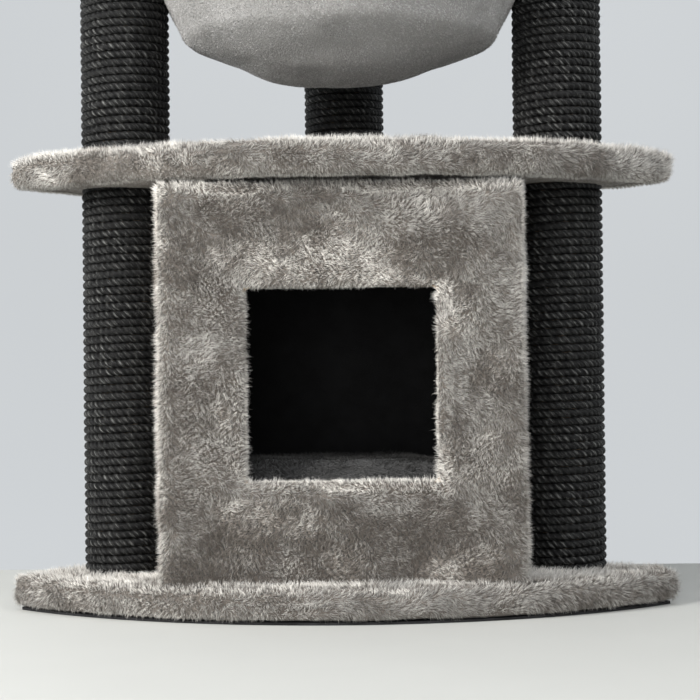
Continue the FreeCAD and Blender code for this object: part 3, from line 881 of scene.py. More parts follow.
# ------------------------------------------------------------------ outlines
@dataclass(frozen=True)
class QuarterOutline:
    """A plate's outline: a quarter circle with rounded corners. Its square corner is at the back."""
    radius: float
    corner_y: float
    corner_round: float = 22 * MM
    tip_round: float = 14 * MM      # at the two front tips, over the pile
    step: float = 6 * MM
    least_round: float = 0.6 * MM
    fillet_points: int = 7

    def deepest(self) -> float:
        """The largest inset, where the outline shrinks to a point."""
        return self.radius / (1 + math.sqrt(2))

    def ring(self, inset: float, height: float) -> Array:
        """The outline, drawn inside itself.

        Args:
            inset: how far inside.
            height: its z.

        Returns:
            The points, from the back corner round by the right.
        """
        rounding = max(self.corner_round - inset, self.least_round)
        back = np.array([0, self.corner_y - math.sqrt(2) * (inset + rounding)])
        along = np.array([1, -1]) / math.sqrt(2)
        outward = np.array([1, 1]) / math.sqrt(2)
        corner = np.array([0, self.corner_y])
        tip_rounding = max(self.tip_round - inset, self.least_round)
        deep = inset + tip_rounding
        reach = math.sqrt(max((self.radius - deep) ** 2 - deep ** 2, 0.0))
        tip = corner + along * reach - outward * deep
        tip_angle = math.atan2(*(tip - corner)[::-1])
        straight = back + rounding * outward, tip + tip_rounding * outward
        runs = round(self.radius / self.step)
        share = np.linspace(0, 1, runs, endpoint=False)[:, None]
        half = np.vstack([
            self.arc(back, rounding, math.pi / 2, math.pi / 4, self.fillet_points),
            straight[0] * (1 - share) + straight[1] * share,
            self.arc(tip, tip_rounding, math.pi / 4, tip_angle, self.fillet_points),
            self.arc(corner, self.radius - inset, tip_angle, -math.pi / 2, runs)])
        front = corner - (0, self.radius - inset)
        left = half[:0:-1] * (-1, 1)
        flat = np.vstack([half, front, left])
        return np.column_stack([flat, np.full(len(flat), height)])

    @staticmethod
    def arc(centre: Array, radius: float, start: float, end: float, count: int) -> Array:
        """Points on an arc, the last one left out."""
        angle = np.linspace(start, end, count, endpoint=False)
        return centre + radius * np.column_stack([np.cos(angle), np.sin(angle)])


@dataclass(frozen=True)
class BoxOutline:
    """The house's outline from above: a rectangle with rounded corners and marks at its door."""
    half_width: float
    front: float
    back: float
    door_half: float
    corner_round: float = 9 * MM
    step: float = 6 * MM
    least_round: float = 0.6 * MM

    def ring(self, inset: float, height: float) -> Array:
        """The outline, drawn inside itself.

        Args:
            inset: how far inside.
            height: its z.

        Returns:
            The points, from the front left corner round by the right.
        """
        rounding = max(self.corner_round - inset, self.least_round)
        wide, front, back = self.half_width - inset, self.front + inset, self.back - inset
        reach = wide - rounding
        door = min(self.door_half, reach * 0.55)
        beside = round((self.half_width - self.corner_round - self.door_half) / self.step)
        between = round(2 * self.door_half / self.step)
        level = np.concatenate([np.linspace(-reach, -door, beside, endpoint=False),
                                np.linspace(-door, door, between, endpoint=False),
                                np.linspace(door, reach, beside, endpoint=False)])
        depth = round((self.back - self.front) / self.step)
        side = np.linspace(front + rounding, back - rounding, depth, endpoint=False)
        plain = np.linspace(reach, -reach, len(level), endpoint=False)
        corner = QuarterOutline.arc
        flat = np.vstack([
            np.column_stack([level, np.full(len(level), front)]),
            corner(np.array([reach, front + rounding]), rounding, -math.pi / 2, 0, 5),
            np.column_stack([np.full(depth, wide), side]),
            corner(np.array([reach, back - rounding]), rounding, 0, math.pi / 2, 5),
            np.column_stack([plain, np.full(len(plain), back)]),
            corner(np.array([-reach, back - rounding]), rounding, math.pi / 2, math.pi, 5),
            np.column_stack([np.full(depth, -wide), side[::-1] + (side[1] - side[0])]),
            corner(np.array([-reach, front + rounding]), rounding, math.pi, 1.5 * math.pi, 5)])
        return np.column_stack([flat, np.full(len(flat), height)])


# ------------------------------------------------------------------ plates
@dataclass
class Plate:
    """A plush-covered quarter-circle plate: its cover, its underside and their pile."""
    level: Level
    finishes: Finishes
    posts: list[tuple[float, float]]
    post_radius: float
    seed: int
    sink: float = 4.2 * MM            # from the tips of the pile to its ground
    edge_round: float = 13 * MM
    under_turn: float = 14 * MM       # how far the cover goes round under the edge
    lump: float = 1.5 * MM
    lump_size: float = 0.035
    deepest_dip: float = 0.9 * MM     # so that the board never shows
    ring_step: float = 6 * MM
    top_pile: Pile = Pile(per_area=210000, length=10 * MM, hair_radius=0.48 * MM)
    edge_pile: Pile = Pile(per_area=450000, length=10.5 * MM, lean=42)
    under_pile: Pile = Pile(per_area=110000, length=8 * MM, lean=60, hair_radius=0.55 * MM)
    noise: SmoothNoise = field(init=False)
    outline: QuarterOutline = field(init=False)

    def __post_init__(self) -> None:
        """Read the plate's size from the frame."""
        self.noise = SmoothNoise(self.seed)
        low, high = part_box(self.level.value + "_plush_cover")
        if self.level is not Level.BASE:
            low.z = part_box(self.level.value + "_plush_underside")[0].z
        self.low, self.high = low.z, high.z
        self.outline = QuarterOutline(radius=self.full_radius(low, high), corner_y=self.corner(high))

    @staticmethod
    def corner(high: Vector) -> float:
        """Where the sharp corner at the back would be."""
        return high.y + QuarterOutline.corner_round * (math.sqrt(2) - 1)

    def full_radius(self, low: Vector, high: Vector) -> float:
        """From that corner to the front arc."""
        return self.corner(high) - low.y

    def ring(self, inset: float, height: float) -> Array:
        """The ground's ring at an inset from the pile's tips."""
        return self.outline.ring(inset, height)

    def quarter_turn(self, centre_z: float, start: float, end: float) -> list[Array]:
        """Rings round an edge.

        Args:
            centre_z: the height of the rounding's centre.
            start: the angle that it starts at, 0 being level outward.
            end: the angle that it ends at.

        Returns:
            The rings.
        """
        inner = self.sink + self.edge_round
        return [self.ring(inner - self.edge_round * math.cos(a), centre_z + self.edge_round * math.sin(a))
                for a in np.linspace(start, end, 5)]

    def cover_skin(self) -> Skin:
        """The cover: a turn under the edge, the edge, and the top face."""
        bottom = self.low + (1 * MM if self.level is Level.BASE else self.sink)
        turn = 50 * MM if self.level is Level.BASE else self.under_turn
        top = self.high - self.sink
        inner = self.sink + self.edge_round
        under = [self.ring(d, bottom) for d in steps(inner + turn, inner, size=self.ring_step)[:-1]]
        side = steps(bottom + self.edge_round, top - self.edge_round, size=self.ring_step)[1:-1]
        rings = under + self.quarter_turn(bottom + self.edge_round, -math.pi / 2, 0)
        rings += [self.ring(self.sink, z) for z in side]
        rings += self.quarter_turn(top - self.edge_round, 0, math.pi / 2)
        deepest = self.outline.deepest() * NEARLY_SHUT
        rings += [self.ring(d, top) for d in steps(inner, deepest, size=self.ring_step)[1:]]
        skin = Skin.from_rings(rings, self.middle(top))
        if self.level is not Level.TOP:
            skin = self.with_post_holes(skin)
        return self.outward(self.lumpy(skin))

    def middle(self, height: float) -> Array:
        """The point that every inset shrinks to."""
        deepest = self.outline.deepest()
        return np.array([0, self.outline.corner_y - math.sqrt(2) * deepest, height])

    def under_skin(self) -> Skin:
        """The cloth under an upper plate."""
        height = self.low + self.sink + 0.5 * MM
        inner = self.sink + self.edge_round + self.under_turn * 0.5
        deepest = self.outline.deepest() * NEARLY_SHUT
        rings = [self.ring(d, height) for d in steps(inner, deepest, size=self.ring_step)]
        skin = Skin.from_rings(rings, self.middle(height))
        skin = Skin(skin.points, skin.quads[:, ::-1])
        return self.lumpy(self.with_post_holes(skin))

    def outward(self, skin: Skin) -> Skin:
        """The skin with its faces turned outward."""
        flip = skin.face_vectors()[:, 2].sum() < 0
        return Skin(skin.points, skin.quads[:, ::-1]) if flip else skin

    def with_post_holes(self, skin: Skin) -> Skin:
        """The skin cut away where the posts stand on it."""
        hidden = self.post_radius - 8 * MM
        middles = skin.centres()
        gone = np.zeros(len(middles), bool)
        for x, y in self.posts:
            gone |= np.hypot(middles[:, 0] - x, middles[:, 1] - y) < hidden
        return skin.without(gone)

    def lumpy(self, skin: Skin) -> Skin:
        """The skin with the soft lumps of its padding."""
        heights = self.lump * (self.noise.at(skin.points, self.lump_size)
                               + 0.5 * self.noise.at(skin.points + 1, self.lump_size * 0.4))
        return skin.pushed(np.maximum(heights, -self.deepest_dip))

    def outside_posts(self, roots: Array) -> Array:
        """Which roots no post stands on."""
        free = np.ones(len(roots), bool)
        for x, y in self.posts:
            free &= np.hypot(roots[:, 0] - x, roots[:, 1] - y) > self.post_radius - 2 * MM
        return free

    def split(self, skin: Skin) -> tuple[Skin, Skin]:
        """The skin's top face, and its edge with the turn under it."""
        level = unit(skin.face_vectors())[:, 2] > 0.75
        return skin.without(~level), skin.without(level)

    def build(self) -> list[bpy.types.Object]:
        """Make the plate's pieces.

        Returns:
            The covers and their pile.
        """
        name = self.level.value
        hair, ground = self.finishes.plush_hair, self.finishes.plush_ground
        hair_material, ground_material = material_of(hair), material_of(ground)
        skin = self.cover_skin()
        cover = mesh_object(f"{name}_cover", skin.points, skin.quads, ground_material)
        hand_in(cover, Body.TREE, Slot.PLUSH, f"{name}_plush_cover")
        level, upright = self.split(skin)
        pile = self.top_pile.grow(f"{name}_top_pile", level, (0.2, -1, 0), self.noise, hair_material,
                                  self.keep_top)
        pile += self.edge_pile.grow(f"{name}_edge_pile", upright, self.comb, self.noise, hair_material,
                                    self.keep_edge, self.painted_light)
        pieces = [cover, *pile]
        if self.level is not Level.BASE:
            under = self.under_skin()
            underside = mesh_object(f"{name}_underside", under.points, under.quads, ground_material)
            hand_in(underside, Body.TREE, Slot.PLUSH, f"{name}_plush_underside")
            beneath = self.under_pile.grow(f"{name}_under_pile", under, (0.2, -1, 0), self.noise,
                                           hair_material, self.keep_under)
            pile += beneath
            pieces += [underside, *beneath]
        for piece in pile:
            hand_in(piece, Body.TREE, Slot.PLUSH)
        return pieces

    def comb(self, roots: Array) -> Array:
        """The way that the edge's pile lies: along it, up at its top and down at its foot."""
        ways = np.tile((0.9, 0.3, -0.4), (len(roots), 1))
        share = (roots[:, 2] - self.low) / (self.high - self.low)
        ways[:, 2] += np.interp(share, (0.1, 0.35, 0.6, 0.9), (-0.8, 0.0, 0.0, 2.6))
        return ways

    def painted_light(self, roots: Array) -> Array:
        """Painted highlight on the edge's pile: how much paler it is painted at each place, most along both
        rims of the edge.
        """
        share = (roots[:, 2] - self.low) / (self.high - self.low)
        return np.interp(share, (0.1, 0.3, 0.7, 0.9), (0.22, 0.04, 0.06, 0.28))

    def keep_edge(self, roots: Array) -> Array:
        """Which roots on the edge are not squeezed between the base and its felt."""
        if self.level is Level.BASE:
            return roots[:, 2] > self.low + 5 * MM
        return self.outside_posts(roots)

    def keep_top(self, roots: Array) -> Array:
        """Which roots on the top face are free of posts and of the house."""
        if self.level is Level.TOP:
            return np.ones(len(roots), bool)
        free = self.outside_posts(roots)
        if self.level is Level.BASE:
            low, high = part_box("house_plush_cover")
            free &= ~((np.abs(roots[:, 0]) < high.x - 6 * MM) & (roots[:, 1] > low.y + 6 * MM)
                      & (roots[:, 1] < high.y - 6 * MM))
        return free

    def keep_under(self, roots: Array) -> Array:
        """Which roots under the plate are free of posts and of the house's roof."""
        free = self.outside_posts(roots)
        if self.level is Level.MIDDLE:
            low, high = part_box("house_plush_cover")
            inset = 30 * MM
            free &= ~((np.abs(roots[:, 0]) < high.x - inset) & (roots[:, 1] > low.y + inset)
                      & (roots[:, 1] < high.y - inset))
        return free


# ------------------------------------------------------------------ house
@dataclass
class House:
    """The plush house: walls and roof in one skin, with its pile turned in round the doorway."""
    finishes: Finishes
    seed: int = 31
    sink: float = 4 * MM              # from the tips of the pile to its ground
    roof_sink: float = 1.5 * MM
    door_sink: float = 5.8 * MM
    door_fold: float = 6 * MM         # rounding of the plush into the doorway
    roof_round: float = 6 * MM
    lump: float = 2.2 * MM
    lump_size: float = 0.045
    deepest_dip: float = 1.0 * MM     # so that the panels never show
    turned_up: float = 28 * MM        # height below the roof where the pile stands up
    turned_out: float = 22 * MM       # width at the upright edges where the pile leans past them
    edge_pull: float = 2.2            # how strongly it leans there, to 1 down the wall
    face_depth: float = 8 * MM        # roots this near a wall's face stand on that wall
    step: float = 6 * MM
    door_width: float = 235 * MM
    front_pile: Pile = Pile(per_area=540000, length=10 * MM)
    side_pile: Pile = Pile(per_area=290000, length=11 * MM, hair_radius=0.46 * MM)
    back_pile: Pile = Pile(per_area=250000, length=11 * MM, hair_radius=0.48 * MM)
    roof_pile: Pile = Pile(per_area=90000, length=7 * MM, lean=60, hair_radius=0.5 * MM)
    door_pile: Pile = Pile(per_area=600000, length=6.5 * MM, lean=50, lean_swing=25, swirl=50, curl=60,
                           jitter=24)

    def __post_init__(self) -> None:
        """Read the house's size from the frame."""
        self.noise = SmoothNoise(self.seed)
        self.low, self.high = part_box("house_plush_cover")
        opening = next(o for o in frame["record"]["physics"]["openings"] if o["name"] == "house_doorway")
        clear_low, clear_high = opening["box_m"]
        grow = self.door_width / 2 - clear_high[0]
        self.door_low, self.door_high = clear_low[2] - grow + 0.5 * MM, clear_high[2] + grow - 0.5 * MM
        lining_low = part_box("house_lining")[0]
        self.reveal_back = lining_low.y + 2 * MM

    def door_reach(self) -> float:
        """How far from the clear doorway the flat wall starts."""
        return self.door_sink + self.door_fold

    def wall_skin(self) -> Skin:
        """Walls and roof, with the doorway cut out."""
        outline = BoxOutline(self.high.x, self.low.y, self.high.y, self.door_width / 2 + self.door_reach())
        top = self.high.z - self.roof_sink - self.roof_round
        heights = steps(self.low.z, self.door_low - self.door_reach(), self.door_high + self.door_reach(),
                        top, size=self.step)
        rings = [outline.ring(self.sink, z) for z in heights]
        inner = self.sink + self.roof_round
        rings += [outline.ring(inner - self.roof_round * math.cos(a), top + self.roof_round * math.sin(a))
                  for a in np.linspace(0, math.pi / 2, 4)[1:]]
        roof = top + self.roof_round
        deepest = (self.high.y - self.low.y) / 2 * 0.97
        rings += [outline.ring(d, roof) for d in steps(inner, deepest, size=self.step)[1:]]
        middle = np.array([0, (self.low.y + self.high.y) / 2, roof])
        skin = Skin.from_rings(rings, middle)
        spots = skin.centres()
        reach = self.door_reach()
        in_front = spots[:, 1] < self.low.y + self.sink + MM
        door = in_front & (np.abs(spots[:, 0]) < self.door_width / 2 + reach) \
            & (spots[:, 2] > self.door_low - reach) & (spots[:, 2] < self.door_high + reach)
        return skin.without(door)

    def door_ring(self, inset: float, depth: float) -> Array:
        """A ring round the doorway.

        Args:
            inset: how far outside the clear opening.
            depth: its y.

        Returns:
            The points, all on one upright plane.
        """
        half = self.door_width / 2 + inset
        low, high = self.door_low - inset, self.door_high + inset
        count_x = round(self.door_width / self.step)
        count_z = round((self.door_high - self.door_low) / self.step)
        across = np.linspace(-half, half, count_x, endpoint=False)
        up = np.linspace(low, high, count_z, endpoint=False)
        x = np.concatenate([across, np.full(count_z, half), -across, np.full(count_z, -half)])
        z = np.concatenate([np.full(count_x, low), up, np.full(count_x, high), low + high - up])
        return np.column_stack([x, np.full(len(x), depth), z])

    def door_skin(self) -> Skin:
        """The plush turned into the doorway."""
        front = self.low.y + self.sink
        fold = self.door_fold
        rings = [self.door_ring(self.door_sink + fold - fold * math.sin(a), front + fold - fold * math.cos(a))
                 for a in np.linspace(0, math.pi / 2, 5)]
        rings += [self.door_ring(self.door_sink, y)
                  for y in steps(front + fold, self.reveal_back, size=4 * MM)[1:]]
        return Skin.from_rings(rings)

    def build(self) -> list[bpy.types.Object]:
        """Make the house's cover and its pile.

        Returns:
            The pieces.
        """
        hair, ground = material_of(self.finishes.plush_hair), material_of(self.finishes.plush_ground)
        walls, collar = self.wall_skin(), self.door_skin()
        walls = self.outward(walls, (0, 0, 1))
        flip = collar.face_vectors()[:, 2] * (collar.centres()[:, 2] - (self.door_low + self.door_high) / 2)
        if flip.sum() > 0:
            collar = Skin(collar.points, collar.quads[:, ::-1])
        walls = walls.pushed(self.lumps(walls))
        whole = Skin.joined(walls, collar)
        cover = mesh_object("house_cover", whole.points, whole.quads, ground)
        hand_in(cover, Body.TREE, Slot.PLUSH, "house_plush_cover")
        facing = unit(whole.face_vectors())
        inside = whole.centres()[:, 1] > self.low.y + self.sink + self.door_fold
        spots = whole.centres()
        reveal = (self.outside_door(spots) < self.door_reach()) & inside & (spots[:, 1] < self.reveal_back)
        front = (facing[:, 1] < -0.35) & ~reveal
        back = (facing[:, 1] > 0.6) & ~reveal
        roof = (facing[:, 2] > 0.75) & ~front & ~back & ~reveal
        side = ~(front | back | roof | reveal)
        pile = self.front_pile.grow("house_front_pile", whole.without(~front), self.comb, self.noise, hair,
                                    painted_light=self.painted_light)
        pile += self.side_pile.grow("house_side_pile", whole.without(~side), self.comb, self.noise, hair)
        pile += self.back_pile.grow("house_back_pile", whole.without(~back), self.comb, self.noise, hair)
        pile += self.roof_pile.grow("house_roof_pile", whole.without(~roof), (0, -1, 0), self.noise, hair)
        pile += self.door_pile.grow("house_door_pile", whole.without(~reveal), (0, -1, 0), self.noise, hair)
        for piece in pile:
            hand_in(piece, Body.TREE, Slot.PLUSH)
        reveal = self.reveal_back - self.low.y
        return [cover, *pile]

    def painted_light(self, roots: Array) -> Array:
        """Painted light on the front's pile: painted highlights paler at the edges, below the roof and round
        the doorway, and painted shade browner low down.

        Args:
            roots: where the hairs stand.

        Returns:
            A shift of the tone for each.
        """
        # painted highlights at the left and right edges, under the roof and round the doorway; painted shade
        # low down
        left = np.interp(roots[:, 0] - self.low.x, (6 * MM, 20 * MM), (0.32, 0.0))
        right = np.interp(self.high.x - roots[:, 0], (5 * MM, 14 * MM), (0.18, 0.0))
        top = np.interp(self.high.z - roots[:, 2], (6 * MM, 24 * MM), (0.20, 0.0))
        rim = np.interp(self.outside_door(roots), (8 * MM, 26 * MM), (0.24, 0.0))
        low = np.interp(roots[:, 2] - self.low.z, (60 * MM, 150 * MM), (-0.22, 0.0))
        return left + right + top + rim + low

    def outside_door(self, points: Array) -> Array:
        """How far each point is from the clear doorway, seen from the front; less than 0 inside it."""
        return np.maximum(np.abs(points[:, 0]) - self.door_width / 2,
                          np.maximum(self.door_low - points[:, 2], points[:, 2] - self.door_high))

    def comb(self, roots: Array) -> Array:
        """The way that the pile lies: down the walls, up along the roof's edge, and in at the doorway.

        Args:
            roots: where the hairs stand.

        Returns:
            One way for each.
        """
        ways = np.tile((0.15, -0.2, -1.0), (len(roots), 1))
        up = np.clip((roots[:, 2] - self.high.z + self.turned_up) / self.turned_up, 0, 1)[:, None]
        ways += up * (0, 0, 2.6)
        across, depth = np.abs(roots[:, 0:1]), roots[:, 1:2]
        beside = np.clip((across - self.high.x + self.turned_out) / self.turned_out, 0, 1)
        facing = np.column_stack([np.sign(roots[:, 0]), np.zeros((len(roots), 2))])
        on_front = depth < self.low.y + self.face_depth
        ways += np.where(on_front, self.edge_pull * beside * facing, 0.0)
        forward = np.clip((self.low.y + self.turned_out - depth) / self.turned_out, 0, 1)
        on_side = across > self.high.x - self.face_depth
        ways += np.where(on_side, forward * np.array([[0, -self.edge_pull, 0]]), 0.0)
        half = self.door_width / 2
        nearest = np.column_stack([np.clip(roots[:, 0], -half, half), roots[:, 1],
                                   np.clip(roots[:, 2], self.door_low, self.door_high)])
        near = np.clip(1 - self.outside_door(roots) / (30 * MM), 0, 1) * (roots[:, 1] < self.low.y + 30 * MM)
        return ways + 3 * near[:, None] * unit(nearest - roots)

    @staticmethod
    def outward(skin: Skin, way: tuple[float, float, float]) -> Skin:
        """The skin with its faces turned towards a way, summed over all of them."""
        flip = (skin.face_vectors() @ np.array(way)).sum() < 0
        return Skin(skin.points, skin.quads[:, ::-1]) if flip else skin

    def lumps(self, skin: Skin) -> Array:
        """How far the padding lifts each point, nothing round the doorway and at the foot."""
        heights = self.lump * (self.noise.at(skin.points, self.lump_size)
                               + 0.5 * self.noise.at(skin.points + 1, self.lump_size * 0.4))
        low = skin.points[:, 2] - self.low.z
        near_door = np.where(skin.points[:, 1] < self.low.y + 12 * MM,
                             self.outside_door(skin.points) - self.door_reach(), 1.0)
        return np.maximum(heights, -self.deepest_dip) * np.clip(near_door / (12 * MM), 0, 1) \
            * np.clip(low / (20 * MM), 0, 1)


# ------------------------------------------------------------------ posts
@dataclass
class WoundPost:
    """One post's rope: a three-strand rope wound turn on turn round its tube."""
    storey: Storey
    place: Place
    finishes: Finishes
    seed: int
    pitch: float = 10.8 * MM
    lay: float = 25 * MM              # one turn of the strands
    swollen: float = 1.05             # how much wider it is than its pitch, pressed against its neighbours
    groove: float = 0.42              # how deep the grooves between strands are, of the radius
    corners: int = 12
    step: float = 2.5 * MM
    wobble: float = 0.35 * MM
    stray_fibres: int = 2600
    map_length: float = 0.30          # how much rope the map holds before it turns back

    def node(self) -> str:
        """The rope's CAD node."""
        return f"{self.storey.value}_{self.place.value}_post_rope"

    def build(self) -> bpy.types.Object:
        """Wind the rope.

        Returns:
            The piece, with its stray fibres.
        """
        rng = np.random.default_rng(self.seed)
        low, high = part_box(self.node())
        axis = (low + high) / 2
        outer = (high.x - low.x) / 2
        tube_low, tube_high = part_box(self.node().replace("rope", "tube"))
        tube = (tube_high.x - tube_low.x) / 2
        radius = self.pitch / 2 * self.swollen
        middle = outer - radius
        rise = high.z - low.z + self.pitch
        turns = rise / self.pitch
        length = turns * 2 * math.pi * middle
        count = int(length / self.step)
        along = np.linspace(0, length, count)
        start = rng.uniform(0, 2 * math.pi)
        angle = start + along / middle
        height = low.z - self.pitch / 2 + along / length * rise
        noise = SmoothNoise(self.seed)
        path = np.column_stack([middle * np.cos(angle), middle * np.sin(angle), height])
        drift = self.wobble * noise.at(path + self.seed, 0.03)
        twist = 2 * math.pi * along / self.lay
        lobe = np.arange(self.corners) * 2 * math.pi / self.corners
        from_ridge = (lobe + math.pi / 3) % (2 * math.pi / 3) - math.pi / 3
        shape = 1 - self.groove * (1 - np.abs(np.cos(1.5 * from_ridge)) ** 0.7)
        swell = 1 + 0.035 * noise.at(path + 4, 0.012)
        turned = lobe[None] - twist[:, None]
        open_side = np.clip(np.cos(turned) + 0.35, 0, 1)
        size = radius * (1 - (1 - shape[None]) * open_side) * swell[:, None]
        out = np.maximum(middle + drift[:, None] + size * np.cos(turned), tube + 0.05 * MM)
        out = np.minimum(out, outer + 0.4 * MM)
        up = height[:, None] + size * np.sin(turned)
        up = np.clip(up, low.z, high.z)
        points = np.stack([axis.x + out * np.cos(angle)[:, None],
                           axis.y + out * np.sin(angle)[:, None], up], axis=2)
        points = points.reshape(-1, 3)
        ring = np.arange(self.corners)
        first = (np.arange(count - 1) * self.corners)[:, None]
        nxt = (ring + 1) % self.corners
        quads = np.stack([first + ring, first + nxt, first + nxt + self.corners, first + ring + self.corners],
                         axis=2).reshape(-1, 4)
        fold = np.abs((along / self.map_length) % 2 - 1)
        uvs = np.column_stack([np.repeat(0.02 + 0.9 * fold, self.corners),
                               np.tile(0.05 + 0.9 * np.abs(2 * ring / self.corners - 1), count)])
        fibre_points, fibre_quads, fibre_uvs = self.fibres(rng, points, axis)
        ends = [np.stack([e + ring[0:1], e + ring[k:k + 1], e + ring[k + 1:k + 2],
                          e + ring[k + 2:k + 3]], axis=1)
                for e in (0, (count - 1) * self.corners) for k in range(1, self.corners - 2, 2)]
        rope = mesh_object(f"{self.storey.value}_{self.place.value}_wound_rope",
                           np.vstack([points, fibre_points]),
                           np.vstack([quads, *ends, fibre_quads + len(points)]),
                           material_of(self.finishes.rope),
                           np.vstack([uvs, fibre_uvs]))
        return hand_in(rope, Body.TREE, Slot.ROPE, self.node())

    def fibres(self, rng: np.random.Generator, surface: Array, axis: Vector) -> tuple[Array, Array, Array]:
        """Stray fibres that stand off the rope, each a thin closed wedge.

        Args:
            rng: the random numbers.
            surface: the rope's points, which they start from.
            axis: a point on the post's axis.

        Returns:
            Their points, their faces and their places on the map.
        """
        away = np.hypot(surface[:, 0] - axis.x, surface[:, 1] - axis.y)
        outer = np.flatnonzero(away > np.quantile(away, 0.75))
        root = surface[rng.choice(outer, self.stray_fibres)]
        out = unit((root - np.array(axis)) * (1, 1, 0))
        level = np.cross((0.0, 0.0, 1.0), out)
        side = rng.choice((-1.0, 1.0), self.stray_fibres)[:, None]
        way = unit(out * rng.uniform(0.15, 0.6, (self.stray_fibres, 1)) + level * side
                   + np.array((0, 0, 1.0)) * rng.normal(0, 0.45, (self.stray_fibres, 1)))
        length = rng.uniform(3, 9, (self.stray_fibres, 1)) * MM
        wide = np.cross(way, out) * 0.12 * MM
        deep = out * 0.12 * MM
        root = root - out * 0.4 * MM
        tip = root + way * length
        corners = [root - wide - deep, root + wide - deep, root + deep, tip]
        points = np.stack(corners, axis=1).reshape(-1, 3)
        first = 4 * np.arange(self.stray_fibres)[:, None, None]
        corners = np.array([[0, 1, 3, 3], [1, 2, 3, 3], [2, 0, 3, 3], [0, 2, 1, 1]])
        faces = (corners[None] + first).reshape(-1, 4)
        across = rng.uniform(0.1, 0.9, self.stray_fibres)
        uvs = np.stack([np.column_stack([across - 0.01, np.full_like(across, 0.97)]),
                        np.column_stack([across + 0.01, np.full_like(across, 0.97)]),
                        np.column_stack([across, np.full_like(across, 0.98)]),
                        np.column_stack([across, np.full_like(across, 0.999)])], axis=1).reshape(-1, 2)
        return points, faces, uvs


